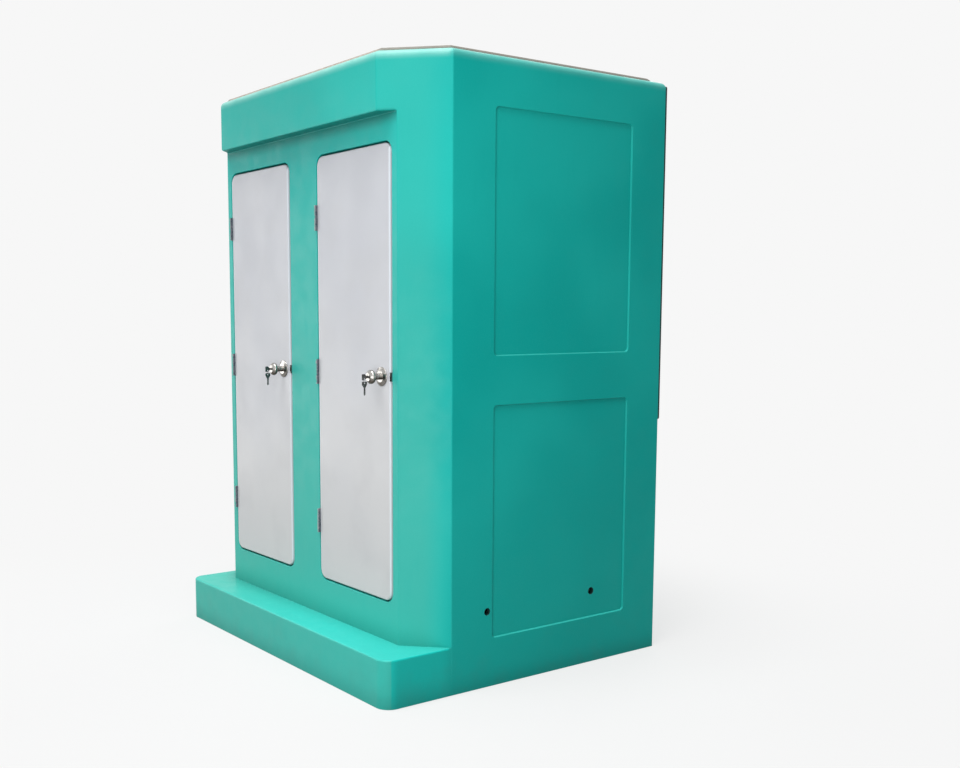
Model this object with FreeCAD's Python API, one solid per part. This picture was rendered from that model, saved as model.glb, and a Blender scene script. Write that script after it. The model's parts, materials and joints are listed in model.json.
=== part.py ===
# Twin portable toilet cabin in moulded glass fibre, in millimetres.
# X runs across the width, the doors face -Y, +Z is up, and the origin is the centre of the footprint.
import FreeCAD, Part
import math
import os

os.makedirs("parts", exist_ok=True)
V = FreeCAD.Vector
X_DIR = V(1, 0, 0)
Y_DIR = V(0, 1, 0)
Z_DIR = V(0, 0, 1)

# Modelling allowances: how far cutters run past a face, and how near counts as in a plane
past = 1.0
near = 1e-3

# Body
cabin_width = 1800.0
overall_depth = 1553.0
shell_top = 2605.0
corner_cut = 217.0
header_reach = 60.0
header_height = 234.0
header_cove = 4.0
header_lip_round = 6.0
top_round = 26.0
edge_round = 9.0
wall_thickness = 30.0
front_thickness = 60.0
roof_flange_width = 100.0
roof_flange_thickness = 20.0
roof_flange_front = 20.0
roof_flange_rear = 124.0

# Base, step and skid frame
step_reach = 116.0
step_height = 204.0
step_corner = 60.0
step_edge_round = 8.0
foot_slope = 8.0
base_skin = 12.0
deck_overlap = 30.0
rail_width = 60.0
rail_height = 60.0
rail_skin = 4.0
rail_offset = 520.0
cross_member_height = 40.0
cross_member_width = 60.0

# Roof panel
roof_thickness = 14.0
roof_bevel = 10.0
roof_rim_inset = 30.0
roof_rear_gap = 69.0
pad_height = 10.0
pad_inset = 120.0
pad_gap = 70.0
pad_corner = 60.0
pad_round = 8.0
pad_count = 3

# Side wall recesses and pipe holes
recess_front = 434.0
recess_rear_margin = 216.0
recess_top_margin = 201.0
recess_band = 203.0
recess_foot_margin = 4.0
lower_recess_height = 990.0
recess_depth = 7.0
recess_slope = 4.0
recess_corner = 20.0
pipe_hole_radius = 16.0
pipe_hole_height = 327.0
front_hole_place = 407.0
rear_hole_place = 1018.0

# Rear panel, vents, rivets and hatch
rear_panel_thickness = 10.0
rear_panel_bottom = 1085.0
rear_panel_top_gap = 16.0
rear_frame_width = 90.0
rear_frame_overlap = 60.0
vent_width = 320.0
vent_height = 120.0
vent_top_gap = 90.0
vent_blades = 6
vent_frame = 10.0
blade_thickness = 3.0
blade_inset = 1.0
rivet_head_radius = 7.0
rivet_head_height = 3.0
rivet_head_round = 1.8
rivet_shank_radius = 2.4
rivet_hole_clearance = 0.1
rivet_grip = 12.0
rear_rivet_rows = 7
rear_rivet_inset = 45.0
roof_rivet_rows = 5
roof_rivet_inset = 55.0
hatch_width = 900.0
hatch_height = 700.0
hatch_bottom = 330.0
hatch_thickness = 18.0
hatch_gap = 5.0
hatch_stop = 15.0
hatch_seat_depth = 0.5
handle_inset = 40.0
handle_plate_radius = 22.0
handle_plate_thickness = 2.7
handle_grip_length = 40.0
handle_grip_width = 10.0
handle_grip_corner = 4.0
handle_shaft_radius = 5.0
handle_sleeve_radius = 9.0
handle_arm_width = 20.0
handle_arm_thickness = 5.0
handle_arm_gap = 1.0

# Doors
door_width = 566.0
door_side_margin = 48.0
door_head_margin = 115.0
door_sill = 175.0
door_thickness = 35.0
door_proud = 3.0
door_gap = 8.0
door_opening_round = 4.0
door_corner = 42.0
door_edge_round = 6.0
door_stop = 16.0
seal_thickness = 5.0
seal_clearance = 0.3

# Hinges
door_hinge_end_margin = 262.0
door_hinge_height = 110.0
knuckle_radius = 6.0
pin_radius = 3.0
pin_clearance = 0.05
knuckle_count = 5
knuckle_gap = 0.6
leaf_thickness = 2.5
leaf_reach = 28.0
hinge_clearance = 0.5
hatch_hinge_height = 70.0
hatch_knuckle_radius = 5.5
hatch_pin_radius = 2.5
hatch_hinge_spacing = 260.0

# Lock set
knob_backset = 64.0
rose_radius = 40.0
rose_thickness = 9.0
rose_rim = 3.0
rose_round = 2.4
rose_crown_radius = 24.0
knob_radius = 29.0
knob_neck_radius = 13.0
knob_reach = 68.0
knob_body_length = 33.0
knob_swell_length = 12.0
knob_nose_length = 10.0
knob_nose_radius = 18.0
knob_round = 9.0
knob_small_round = 5.0
turning_clearance = 0.1
resting_gap = 0.3
spindle_radius = 6.0
spindle_bore = 9.0
bolt_height = 22.0
bolt_thickness = 12.0
bolt_throw = 11.0
bolt_length = 46.0
bolt_clearance = 0.3
bolt_travel_room = 13.0
bolt_slope = 7.2
plate_thickness = 2.0
plate_height = 38.0
plate_width = 24.0
edge_return = 5.0
strike_lip = 5.0
strike_pocket_clearance = 2.0
plug_radius = 6.5
plug_length = 28.0
plug_proud = 0.5
key_thickness = 2.0
key_blade_height = 8.0
key_blade_length = 32.0
key_standoff = 4.0
key_bow_radius = 12.5
key_bow_hole = 3.0
key_bow_margin = 2.0
key_bow_corner = 3.0
key_cut_count = 4
key_cut_pitch = 5.0
key_cut_depth = 1.6
ring_wire = 0.8
ring_radius = 6.0
ring_play = 0.2

# Floor, partition and bulkhead
floor_top = 368.0
floor_thickness = 18.0
floor_rib_thickness = 20.0
floor_rib_pipe_gap = 40.0
partition_thickness = 30.0
duct_depth = 134.0
bulkhead_thickness = 20.0
bulkhead_top_gap = 188.0
pipe_clearance = 0.5

# Waste tank, outlet, gate valve and vent pipe
tank_side_gap = 100.0
tank_front_place = 200.0
outlet_stub_length = 22.0
tank_top = 300.0
tank_skin = 8.0
tank_corner = 50.0
tank_neck_radius = 55.0
outlet_height = 172.0
outlet_radius = 50.0
outlet_skin = 5.0
valve_width = 160.0
valve_depth = 40.0
valve_hood = 70.0
valve_corner = 8.0
valve_bore_radius = 47.0
gate_width = 124.0
gate_thickness = 6.0
gate_clearance = 0.2
gate_travel = 112.0
gate_stem_radius = 2.75
gate_rod_radius = 5.0
gate_rod_length = 60.0
gate_handle_radius = 8.0
gate_handle_height = 470.0
gate_handle_width = 120.0
vent_pipe_radius = 25.0
vent_pipe_skin = 3.0
vent_pipe_place = 120.0
vent_pipe_gap = 3.0
vent_pipe_top_gap = 138.0

# WC pan, seat and cistern
pan_length = 500.0
pan_width = 360.0
pan_rim_height = 400.0
pan_foot_length = 400.0
pan_foot_width = 240.0
bowl_length = 330.0
bowl_width = 250.0
bowl_depth = 270.0
bowl_front_margin = 55.0
bowl_floor_length = 150.0
bowl_floor_width = 120.0
pan_rim_depth = 30.0
pan_outlet_offset = 20.0
spigot_radius = 50.0
spigot_reach = 10.0
spigot_skin = 5.0
seat_thickness = 18.0
seat_length = 420.0
seat_gap = 0.3
seat_hole_length = 280.0
seat_hole_width = 220.0
seat_hinge_gap = 55.0
seat_barrel_radius = 9.0
seat_barrel_length = 150.0
seat_barrel_gap = 4.0
seat_end_play = 0.5
seat_rod_radius = 4.0
seat_post_thickness = 18.0
seat_post_width = 24.0
seat_post_room = 20.0
seat_post_corner = 8.0
seat_back_gap = 4.0
seat_side_gap = 3.0
seat_round = 6.3
cistern_width = 380.0
cistern_depth = 110.0
cistern_height = 320.0
cistern_skin = 6.0
cistern_corner = 20.0
cistern_drop = 170.0
flush_height = 1450.0
flush_button_radius = 24.0
flush_button_height = 10.0
flush_button_gap = 0.5
flush_travel = 6.0
control_round = 3.0
flush_rod_radius = 5.0
flush_rod_length = 60.0
flush_pipe_radius = 20.0
flush_pipe_height = 620.0
flush_pipe_entry = 25.0

# Basin, tap and small fittings
basin_reach = 300.0
basin_width = 340.0
basin_height = 130.0
basin_top = 1168.0
basin_wall = 14.0
basin_ledge = 80.0
basin_corner = 60.0
basin_floor_round = 28.0
tap_radius = 13.0
tap_height = 110.0
tap_spout_length = 110.0
tap_spout_radius = 8.0
tap_spout_skin = 2.0
tap_spout_bend = 20.0
tap_spout_drop = 40.0
lever_height = 18.0
lever_length = 70.0
lever_width = 12.0
lever_rise = 7.2
lever_thickness = 7.2
lever_corner = 4.8
lever_stem_radius = 5.0
lever_stem_length = 9.0
mirror_width = 320.0
mirror_height = 450.0
mirror_bottom = 1480.0
mirror_thickness = 5.0
mirror_corner = 12.0
hook_place = 450.0
hook_height = 1950.0
hook_reach = 42.0
hook_plate_radius = 20.0
hook_tip_radius = 9.0
paper_place = 880.0
paper_height = 1000.0
paper_width = 120.0
paper_reach = 75.0
paper_bend = 20.0
paper_plate_radius = 22.0
fitting_plate = 4.0
fitting_rod = 5.0
fitting_rod_skin = 2.0
service_pipe_radius = 15.0
service_pipe_skin = 2.0
pipe_bend = 45.0
waste_bend = 18.0
supply_run_inset = 90.0
supply_drop = 60.0

# Places that follow from the sizes above
half_width = cabin_width / 2
header_bottom = shell_top - header_height
cabin_depth = overall_depth - step_reach
step_front_y = -overall_depth / 2
header_y = step_front_y + step_reach
door_wall_y = header_y + header_reach
front_inner_y = door_wall_y + front_thickness
cut_y = header_y + corner_cut
rivet_head_y = header_y + cabin_depth
rear_panel_y = rivet_head_y - rivet_head_height
shell_rear_y = rear_panel_y - rear_panel_thickness
rear_inner_y = shell_rear_y - wall_thickness
side_inner_x = half_width - wall_thickness
door_face_y = door_wall_y - door_proud
door_back_y = door_face_y + door_thickness
door_outer_x = half_width - corner_cut + header_reach - door_side_margin
door_inner_x = door_outer_x - door_width
door_pitch = door_inner_x + door_outer_x
door_bottom = step_height + door_sill
door_top = header_bottom - door_head_margin
door_height = door_top - door_bottom
door_centre_z = (door_bottom + door_top) / 2
lower_recess_bottom = step_height + recess_foot_margin
upper_recess_bottom = lower_recess_bottom + lower_recess_height + recess_band
upper_recess_height = shell_top - recess_top_margin - upper_recess_bottom
recess_length = cabin_depth - recess_front - recess_rear_margin
bulkhead_back_y = rear_inner_y - duct_depth
bulkhead_y = bulkhead_back_y - bulkhead_thickness
bulkhead_top = shell_top - bulkhead_top_gap
bay_centre_x = (partition_thickness / 2 + side_inner_x) / 2
pan_rim_z = floor_top + pan_rim_height
cistern_bottom = flush_height - cistern_drop
valve_rear_y = rear_inner_y - base_skin
valve_front_y = valve_rear_y - valve_depth
tank_rear_y = valve_front_y - outlet_stub_length
tank_bottom = rail_height + cross_member_height
roof_top = shell_top + roof_thickness


def box(x0, x1, y0, y1, z0, z1):
    """A box from its low to its high side on each axis."""
    return Part.makeBox(x1 - x0, y1 - y0, z1 - z0, V(x0, y0, z0))


def rod(radius, start, end):
    """A round bar from one point to another."""
    return Part.makeCylinder(radius, (end - start).Length, start, end - start)


def tube(radius, skin, start, end):
    """A round pipe, open at both ends."""
    return rod(radius, start, end).cut(rod(radius - skin, start, end))


def plan_wire(points, z):
    """A closed outline through plan points at one height."""
    corners = [V(x, y, z) for x, y in points]
    return Part.makePolygon(corners + corners[:1])


def prism(points, z0, z1):
    """An upright prism over plan points."""
    return Part.Face(plan_wire(points, z0)).extrude(V(0, 0, z1 - z0))


def join(shapes):
    """Fuse overlapping or touching shapes into one solid."""
    return shapes[0].multiFuse(shapes[1:]).removeSplitter()


def group(shapes):
    """Keep separate solids together in one node."""
    return Part.makeCompound(shapes)


def mirrored(shape):
    """The same shape on the other side of the centre plane."""
    return shape.mirror(V(0, 0, 0), X_DIR)


def moved(shape, x=0.0, y=0.0, z=0.0):
    """A copy of the shape, shifted."""
    copy = shape.copy()
    copy.translate(V(x, y, z))
    return copy


def edges_along(shape, axis):
    """Straight edges of a shape that run along one axis: 0, 1 or 2."""
    found = []
    for edge in shape.Edges:
        size = (edge.BoundBox.XLength, edge.BoundBox.YLength, edge.BoundBox.ZLength)
        if all(size[other] < near for other in range(3) if other != axis):
            found.append(edge)
    return found


def edges_in_plane(shape, axis, place):
    """Edges of a shape that lie in the plane where one coordinate has the given value."""
    found = []
    for edge in shape.Edges:
        bound = edge.BoundBox
        low = (bound.XMin, bound.YMin, bound.ZMin)[axis]
        high = (bound.XMax, bound.YMax, bound.ZMax)[axis]
        if abs(low - place) < near and abs(high - place) < near:
            found.append(edge)
    return found


def rounded_box(x0, x1, y0, y1, z0, z1, axis, radius):
    """A box whose four edges along one axis are rounded."""
    solid = box(x0, x1, y0, y1, z0, z1)
    return solid.makeFillet(radius, edges_along(solid, axis))


def pipe_run(points, radius, skin, bend):
    """A pipe along straight runs joined by tangent bends of one radius."""
    edges = []
    start = points[0]
    for before, corner, after in zip(points, points[1:], points[2:]):
        inward = (corner - before).normalize()
        outward = (after - corner).normalize()
        turn = inward.getAngle(outward)
        setback = bend * math.tan(turn / 2)
        first = corner - inward * setback
        last = corner + outward * setback
        towards = (outward - inward).normalize()
        middle = corner + towards * (bend / math.cos(turn / 2) - bend)
        edges.append(Part.LineSegment(start, first).toShape())
        edges.append(Part.Arc(first, middle, last).toShape())
        start = last
    edges.append(Part.LineSegment(start, points[-1]).toShape())
    path = Part.Wire(edges)
    aim = points[1] - points[0]
    solids = []
    for size in (radius, radius - skin):
        ring = Part.Wire(Part.makeCircle(size, points[0], aim))
        solids.append(path.makePipeShell([ring], True, False))
    return solids[0].cut(solids[1])


def spun(points, axis_start, axis_dir):
    """A solid of revolution from a closed outline of points."""
    outline = Part.Face(Part.makePolygon(points + points[:1]))
    return outline.revolve(axis_start, axis_dir, 360)


def export(name, shape):
    """Write one node."""
    shape.exportStep("parts/" + name + ".step")


# Shell: the body is drawn whole and then parted at its corners into mouldings

def body_outline(offset, front_y, rear_y):
    """Plan points of the body, moved in by an offset, with the front corners cut at 45 degrees."""
    half = half_width - offset
    cut_line = half_width - corner_cut - header_y - offset * math.sqrt(2)
    front_x = front_y + cut_line
    cut_end_y = half - cut_line
    return [(-half, rear_y), (-half, cut_end_y), (-front_x, front_y),
            (front_x, front_y), (half, cut_end_y), (half, rear_y)]


def door_slab(margin, y0, y1):
    """The right door's rounded outline grown by a margin, as a slab between two depths."""
    return rounded_box(door_inner_x - margin, door_outer_x + margin, y0, y1,
                       door_bottom - margin, door_top + margin, 1, door_corner + margin)


def on_both_doors(shape):
    """Copies of a shape at the right and at the left door."""
    return [shape, moved(shape, x=-door_pitch)]


def outer_body():
    """The outside of the body: set-back door wall, header with its cove, rounded edges."""
    solid = prism(body_outline(0, header_y, shell_rear_y), 0, shell_top)
    reach = box(-half_width - past, half_width + past, header_y - past, door_wall_y, -past, header_bottom)
    inner_edge = [edge for edge in edges_along(reach, 0)
                  if abs(edge.BoundBox.YMin - door_wall_y) < near and edge.BoundBox.ZMin > 0]
    solid = solid.cut(reach.makeFillet(header_cove, inner_edge))
    corners = [edge for edge in edges_along(solid, 2) if edge.BoundBox.YMax < shell_rear_y - near]
    solid = solid.makeFillet(edge_round, corners)
    lip = [edge for edge in edges_in_plane(solid, 2, header_bottom)
           if edge.BoundBox.YMin < door_wall_y - header_cove - past]
    solid = solid.makeFillet(header_lip_round, lip)
    return solid.makeFillet(top_round, edges_in_plane(solid, 2, shell_top))


def recess_tool(bottom, height):
    """The cutter of one shallow recess with sloping edges in the right side wall."""
    front = header_y + recess_front
    rear = front + recess_length
    wires = []
    for depth, inset in ((0, 0), (recess_depth, recess_slope)):
        place = half_width - depth
        slab = rounded_box(place, place + past, front + inset, rear - inset,
                           bottom + inset, bottom + height - inset, 0, recess_corner - inset)
        face = [face for face in slab.Faces
                if abs(face.CenterOfMass.x - place) < near][0]
        wires.append(face.OuterWire)
    return Part.makeLoft(wires, True, True)


def pipe_hole_places():
    """Depths of the two pipe holes in each side wall."""
    return [header_y + front_hole_place, header_y + rear_hole_place]


def outer_body_with_door_openings():
    """The body with the outer part of each door opening, its front edge rounded."""
    rebate_y = door_back_y + seal_thickness
    body = outer_body().cut(on_both_doors(door_slab(door_gap, header_y, rebate_y)))
    rims = [edge for edge in edges_in_plane(body, 1, door_wall_y)
            if edge.BoundBox.ZMin > door_bottom - 2 * door_gap and edge.BoundBox.ZMax < door_top + 2 * door_gap]
    return body.makeFillet(door_opening_round, rims)


def hatch_slab(margin, y0, y1):
    """The hatch's outline grown by a margin, between two depths."""
    return box(-hatch_width / 2 - margin, hatch_width / 2 + margin, y0, y1,
               hatch_bottom - margin, hatch_bottom + hatch_height + margin)


def whole_shell():
    """The body with its inside, door openings, rear openings and recesses taken out."""
    shell = outer_body_with_door_openings()
    inside = prism(body_outline(wall_thickness, front_inner_y, rear_inner_y),
                   -past, shell_top - roof_flange_thickness)
    roof_hole = prism(body_outline(roof_flange_width, front_inner_y + roof_flange_front,
                                   shell_rear_y - roof_flange_rear),
                      header_bottom, shell_top + past)
    rear_hole = box(-half_width + rear_frame_width, half_width - rear_frame_width,
                    rear_inner_y - past, shell_rear_y + past,
                    rear_panel_bottom + rear_frame_overlap,
                    shell_top - roof_flange_thickness - rear_frame_overlap)
    cutters = [inside, roof_hole, rear_hole]
    cutters += on_both_doors(door_slab(-door_stop, header_y, front_inner_y + past))
    cutters.append(hatch_slab(hatch_gap, shell_rear_y - hatch_thickness, shell_rear_y + past))
    cutters.append(hatch_slab(-hatch_stop, rear_inner_y - past, shell_rear_y))
    for bottom, height in ((upper_recess_bottom, upper_recess_height),
                           (lower_recess_bottom, lower_recess_height)):
        tool = recess_tool(bottom, height)
        cutters += [tool, mirrored(tool)]
    for place in pipe_hole_places():
        cutters.append(rod(pipe_hole_radius, V(-half_width - past, place, pipe_hole_height),
                           V(half_width + past, place, pipe_hole_height)))
    cutters.append(rod(outlet_radius + outlet_skin + pipe_clearance,
                       V(0, rear_inner_y - past, outlet_height), V(0, shell_rear_y + past, outlet_height)))
    cutters += on_both_doors(bolt_pocket_in_jamb())
    cutters += rivet_holes()
    return shell.cut(cutters)


def mitre(start, angle, length):
    """The far end of a parting line that leaves a body corner at an angle."""
    return start[0] + length * math.cos(angle), start[1] + length * math.sin(angle)


def parting_shapes():
    """Plan cutters that part the body at its corners: front, right side and rear."""
    front_angle = math.radians(180 - 45 / 2)
    rear_angle = math.radians(180 + 45)
    inward = cabin_width / 3
    outward = -wall_thickness
    front_corner = (half_width, cut_y)
    rear_corner = (half_width, shell_rear_y)
    inner_front = mitre(front_corner, front_angle, inward)
    outer_front = mitre(front_corner, front_angle, outward)
    inner_rear = mitre(rear_corner, rear_angle, inward)
    outer_rear = mitre(rear_corner, rear_angle, outward)
    low_y = step_front_y
    front = [outer_front, inner_front, (-inner_front[0], inner_front[1]), (-outer_front[0], outer_front[1]),
             (-outer_front[0], low_y), (outer_front[0], low_y)]
    side = [outer_front, inner_front, inner_rear, outer_rear]
    rear = [outer_rear, inner_rear, (-inner_rear[0], inner_rear[1]), (-outer_rear[0], outer_rear[1])]
    return front, side, rear


def front_footprint(reach):
    """Plan points of the door wall and the two cut corners at the step, moved out by a reach."""
    return body_outline(-reach, door_wall_y - reach, cut_y + past)


def foot_cove():
    """The small slope where the door wall and the cut corners meet the step."""
    top = step_height + foot_slope
    slope = Part.makeLoft([plan_wire(front_footprint(foot_slope), step_height),
                           plan_wire(front_footprint(0), top)], True, True)
    inside = prism(front_footprint(-wall_thickness / 2), step_height, top)
    room = box(-half_width, half_width, step_front_y, cut_y, step_height, top)
    return slope.cut(inside).common(room)


def shell_mouldings():
    """The front moulding on the step deck, the two side walls and the rear wall."""
    shell = whole_shell()
    front, side, rear = parting_shapes()
    top = shell_top + past
    front_moulding = join([shell.common(prism(front, step_height, top)), foot_cove()])
    side_wall = shell.common(prism(side, -past, top))
    rear_wall = shell.common(prism(rear, -past, top))
    return front_moulding, side_wall, rear_wall


# Base, skid frame and roof

def base_step():
    """The base moulding: full width under the step and door wall, then between the side walls."""
    front_end = cut_y
    lean = wall_thickness * math.tan(math.radians(45 / 2))
    front_part = rounded_front_block(front_end)
    tail = prism([(-side_inner_x, rear_inner_y), (-side_inner_x, front_end + lean), (-half_width, front_end),
                  (half_width, front_end), (side_inner_x, front_end + lean), (side_inner_x, rear_inner_y)],
                 0, step_height)
    solid = join([front_part, tail])
    hollow = prism([(-side_inner_x + base_skin, rear_inner_y - base_skin),
                    (-side_inner_x + base_skin, step_front_y + step_corner),
                    (-half_width + step_corner, step_front_y + base_skin),
                    (half_width - step_corner, step_front_y + base_skin),
                    (side_inner_x - base_skin, step_front_y + step_corner),
                    (side_inner_x - base_skin, rear_inner_y - base_skin)],
                   -past, step_height - base_skin)
    opening = prism(body_outline(wall_thickness + base_skin, front_inner_y + deck_overlap,
                                 rear_inner_y - base_skin), 0, step_height + past)
    outlet = rod(outlet_radius + outlet_skin + pipe_clearance,
                 V(0, valve_rear_y - past, outlet_height), V(0, rear_inner_y + past, outlet_height))
    return solid.cut([hollow, opening, outlet])


def rounded_front_block(rear_y):
    """The step's block with rounded front corners and a rounded top edge, left square under the walls."""
    block = box(-half_width, half_width, step_front_y, rear_y, 0, step_height)
    corners = [edge for edge in edges_along(block, 2) if edge.BoundBox.YMax < step_front_y + near]
    block = block.makeFillet(step_corner, corners)
    rim = [edge for edge in edges_in_plane(block, 2, step_height) if edge.BoundBox.YMin < rear_y - near]
    footing = prism(front_footprint(foot_slope), step_height - step_edge_round, step_height)
    return join([block.makeFillet(step_edge_round, rim),
                 footing.common(box(-half_width, half_width, step_front_y, rear_y, 0, step_height))])


def skid_frame():
    """Two hollow steel rails on the ground with three hollow members across them."""
    members = []
    front = step_front_y + base_skin + step_corner
    rear = rear_inner_y - base_skin
    for side in (-1, 1):
        x0 = side * rail_offset - rail_width / 2
        rail = box(x0, x0 + rail_width, front, rear, 0, rail_height)
        core = box(x0 + rail_skin, x0 + rail_width - rail_skin, front - past, rear + past,
                   rail_skin, rail_height - rail_skin)
        members.append(rail.cut(core))
    reach = side_inner_x - base_skin
    z0 = rail_height
    z1 = rail_height + cross_member_height
    for place in (front, (front + rear - cross_member_width) / 2, rear - cross_member_width):
        member = box(-reach, reach, place, place + cross_member_width, z0, z1)
        core = box(-reach - past, reach + past, place + rail_skin, place + cross_member_width - rail_skin,
                   z0 + rail_skin, z1 - rail_skin)
        members.append(member.cut(core))
    return group(members)


def roof_panel():
    """The roof sheet, set in from the body's edge, with raised stiffening pads."""
    front_y = header_y + roof_rim_inset
    rear_y = shell_rear_y - roof_rear_gap
    sheet = prism(body_outline(roof_rim_inset, front_y, rear_y), shell_top, roof_top)
    sheet = sheet.makeChamfer(roof_bevel, edges_in_plane(sheet, 2, roof_top))
    low_x = -half_width + roof_rim_inset + pad_inset
    pad_width = (-2 * low_x - (pad_count - 1) * pad_gap) / pad_count
    pads = [sheet]
    for index in range(pad_count):
        x0 = low_x + index * (pad_width + pad_gap)
        pad = rounded_box(x0, x0 + pad_width, front_y + pad_inset, rear_y - pad_inset,
                          shell_top, roof_top + pad_height, 2, pad_corner)
        pads.append(pad.makeFillet(pad_round, edges_in_plane(pad, 2, roof_top + pad_height)))
    return join(pads).cut(rivet_holes())


# Rear panel, vents and rivets

def rear_rivet_places():
    """Where the rear panel is riveted to the rear frame: x and z of each rivet."""
    low = rear_panel_bottom + rear_rivet_inset / 2
    high = shell_top - rear_panel_top_gap - rear_rivet_inset / 2 - top_round / 2
    places = []
    for index in range(rear_rivet_rows):
        z = low + (high - low) * index / (rear_rivet_rows - 1)
        places += [(-half_width + rear_rivet_inset, z), (half_width - rear_rivet_inset, z)]
    reach = half_width - rear_rivet_inset
    for fraction in (-0.5, 0.0, 0.5):
        places += [(fraction * reach, low), (fraction * reach, high)]
    return places


def roof_rivet_places():
    """Where the roof panel is riveted to the roof flange: x and y of each rivet."""
    inset = roof_rim_inset + roof_rivet_inset
    front = cut_y + roof_rivet_inset
    rear = shell_rear_y - roof_rear_gap - roof_rivet_inset
    places = []
    for index in range(roof_rivet_rows):
        y = front + (rear - front) * index / (roof_rivet_rows - 1)
        places += [(-half_width + inset, y), (half_width - inset, y)]
    reach = half_width - corner_cut - roof_rivet_inset
    for fraction in (-1.0, -0.5, 0.0, 0.5, 1.0):
        places.append((fraction * reach, header_y + inset))
    return places


def rivet_holes():
    """Cutters of all rivet holes through the panels and into the shell."""
    radius = rivet_shank_radius + rivet_hole_clearance
    depth = rear_panel_thickness + rivet_grip + past
    holes = [rod(radius, V(x, rear_panel_y + past, z), V(x, rear_panel_y - depth, z))
             for x, z in rear_rivet_places()]
    depth = roof_thickness + rivet_grip + past
    holes += [rod(radius, V(x, y, roof_top + past), V(x, y, roof_top - depth))
              for x, y in roof_rivet_places()]
    return holes


def rivet(length):
    """One domed rivet: head on the plane z = 0, shank below it."""
    head = Part.makeCylinder(rivet_head_radius, rivet_head_height)
    head = head.makeFillet(rivet_head_round, edges_in_plane(head, 2, rivet_head_height))
    return join([head, rod(rivet_shank_radius, V(0, 0, rivet_head_height / 2), V(0, 0, -length))])


def shell_rivets():
    """The rivets of the rear panel and the roof panel."""
    rear = rivet(rear_panel_thickness + rivet_grip)
    rear.rotate(V(0, 0, 0), X_DIR, -90)
    roof = rivet(roof_thickness + rivet_grip)
    solids = [moved(rear, x, rear_panel_y, z) for x, z in rear_rivet_places()]
    solids += [moved(roof, x, y, roof_top) for x, y in roof_rivet_places()]
    return group(solids)


def vent_place():
    """Low corner of the right vent opening in the rear panel."""
    return bay_centre_x - vent_width / 2, shell_top - rear_frame_overlap - vent_top_gap - vent_height


def rear_panel():
    """The riveted sheet over the upper rear opening, with two vent openings."""
    top = shell_top - rear_panel_top_gap
    sheet = rounded_box(-half_width, half_width, shell_rear_y, rear_panel_y,
                        rear_panel_bottom, top, 1, edge_round)
    x0, z0 = vent_place()
    opening = box(x0, x0 + vent_width, shell_rear_y - past, rear_panel_y + past, z0, z0 + vent_height)
    return sheet.cut([opening, mirrored(opening)] + rivet_holes())


def vent_grilles():
    """A louvred grille in each vent opening."""
    x0, z0 = vent_place()
    x1 = x0 + vent_width
    z1 = z0 + vent_height
    frame = box(x0, x1, shell_rear_y, rear_panel_y, z0, z1)
    frame = frame.cut(box(x0 + vent_frame, x1 - vent_frame, shell_rear_y - past, rear_panel_y + past,
                          z0 + vent_frame, z1 - vent_frame))
    parts = [frame]
    pitch = (vent_height - 2 * vent_frame) / vent_blades
    for index in range(vent_blades):
        z = z0 + vent_frame + (index + 0.5) * pitch
        blade = box(x0 + vent_frame, x1 - vent_frame, shell_rear_y + blade_inset, rear_panel_y - blade_inset,
                    z - blade_thickness / 2, z + blade_thickness / 2)
        parts.append(blade)
    grille = join(parts)
    return group([grille, mirrored(grille)])


# Hinges: knuckles alternate along the pin, frame knuckles at both ends

def hinge_axis(edge_x, gap, face_y, side, radius):
    """Plan place of a hinge pin, outside the face and over the middle of the gap."""
    return edge_x - gap / 2, face_y + side * (radius + hinge_clearance)


def knuckle_spans(z0, height, first):
    """The z spans of every second knuckle, starting with the first or the second."""
    pitch = height / knuckle_count
    return [(z0 + index * pitch + knuckle_gap / 2, z0 + (index + 1) * pitch - knuckle_gap / 2)
            for index in range(first, knuckle_count, 2)]


def hinge_leaf(axis, leaf_x, inner_y, z0, height, radius, pin, first):
    """One hinge leaf: a plate in the gap with its knuckles bored for the pin."""
    x, y = axis
    low_y = min(y, inner_y)
    high_y = max(y, inner_y)
    plate = box(leaf_x, leaf_x + leaf_thickness, low_y, high_y, z0, z0 + height)
    other = knuckle_spans(z0, height, 1 - first)
    clear = radius + hinge_clearance / 2
    cuts = [rod(clear, V(x, y, low - knuckle_gap), V(x, y, high + knuckle_gap)) for low, high in other]
    knuckles = [rod(radius, V(x, y, low), V(x, y, high)) for low, high in knuckle_spans(z0, height, first)]
    bore = rod(pin + pin_clearance, V(x, y, z0 - past), V(x, y, z0 + height + past))
    return join([plate.cut(cuts)] + knuckles).cut(bore)


def door_hinge_starts():
    """Lower ends of the three hinges of a door."""
    spacing = door_height / 2 - door_hinge_end_margin
    return [door_centre_z + step * spacing - door_hinge_height / 2 for step in (-1, 0, 1)]


def door_axis():
    """Plan place of the right door's hinge pins."""
    return hinge_axis(door_inner_x, door_gap, door_face_y, -1, knuckle_radius)


def frame_leaves_at_door():
    """The three hinge leaves on the frame side of the right door."""
    return [hinge_leaf(door_axis(), door_inner_x - door_gap, door_wall_y + leaf_reach, start,
                       door_hinge_height, knuckle_radius, pin_radius, 0) for start in door_hinge_starts()]


def door_leaves():
    """The three hinge leaves on the right door's edge."""
    return [hinge_leaf(door_axis(), door_inner_x - leaf_thickness, door_wall_y + leaf_reach, start,
                       door_hinge_height, knuckle_radius, pin_radius, 1) for start in door_hinge_starts()]


def hatch_axis():
    """Plan place of the hatch's hinge pins."""
    return hinge_axis(-hatch_width / 2, hatch_gap, shell_rear_y, 1, hatch_knuckle_radius)


def hatch_hinge_starts():
    """Lower ends of the two hinges of the hatch."""
    middle = hatch_bottom + hatch_height / 2 - hatch_hinge_height / 2
    return [middle - hatch_hinge_spacing, middle + hatch_hinge_spacing]


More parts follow.
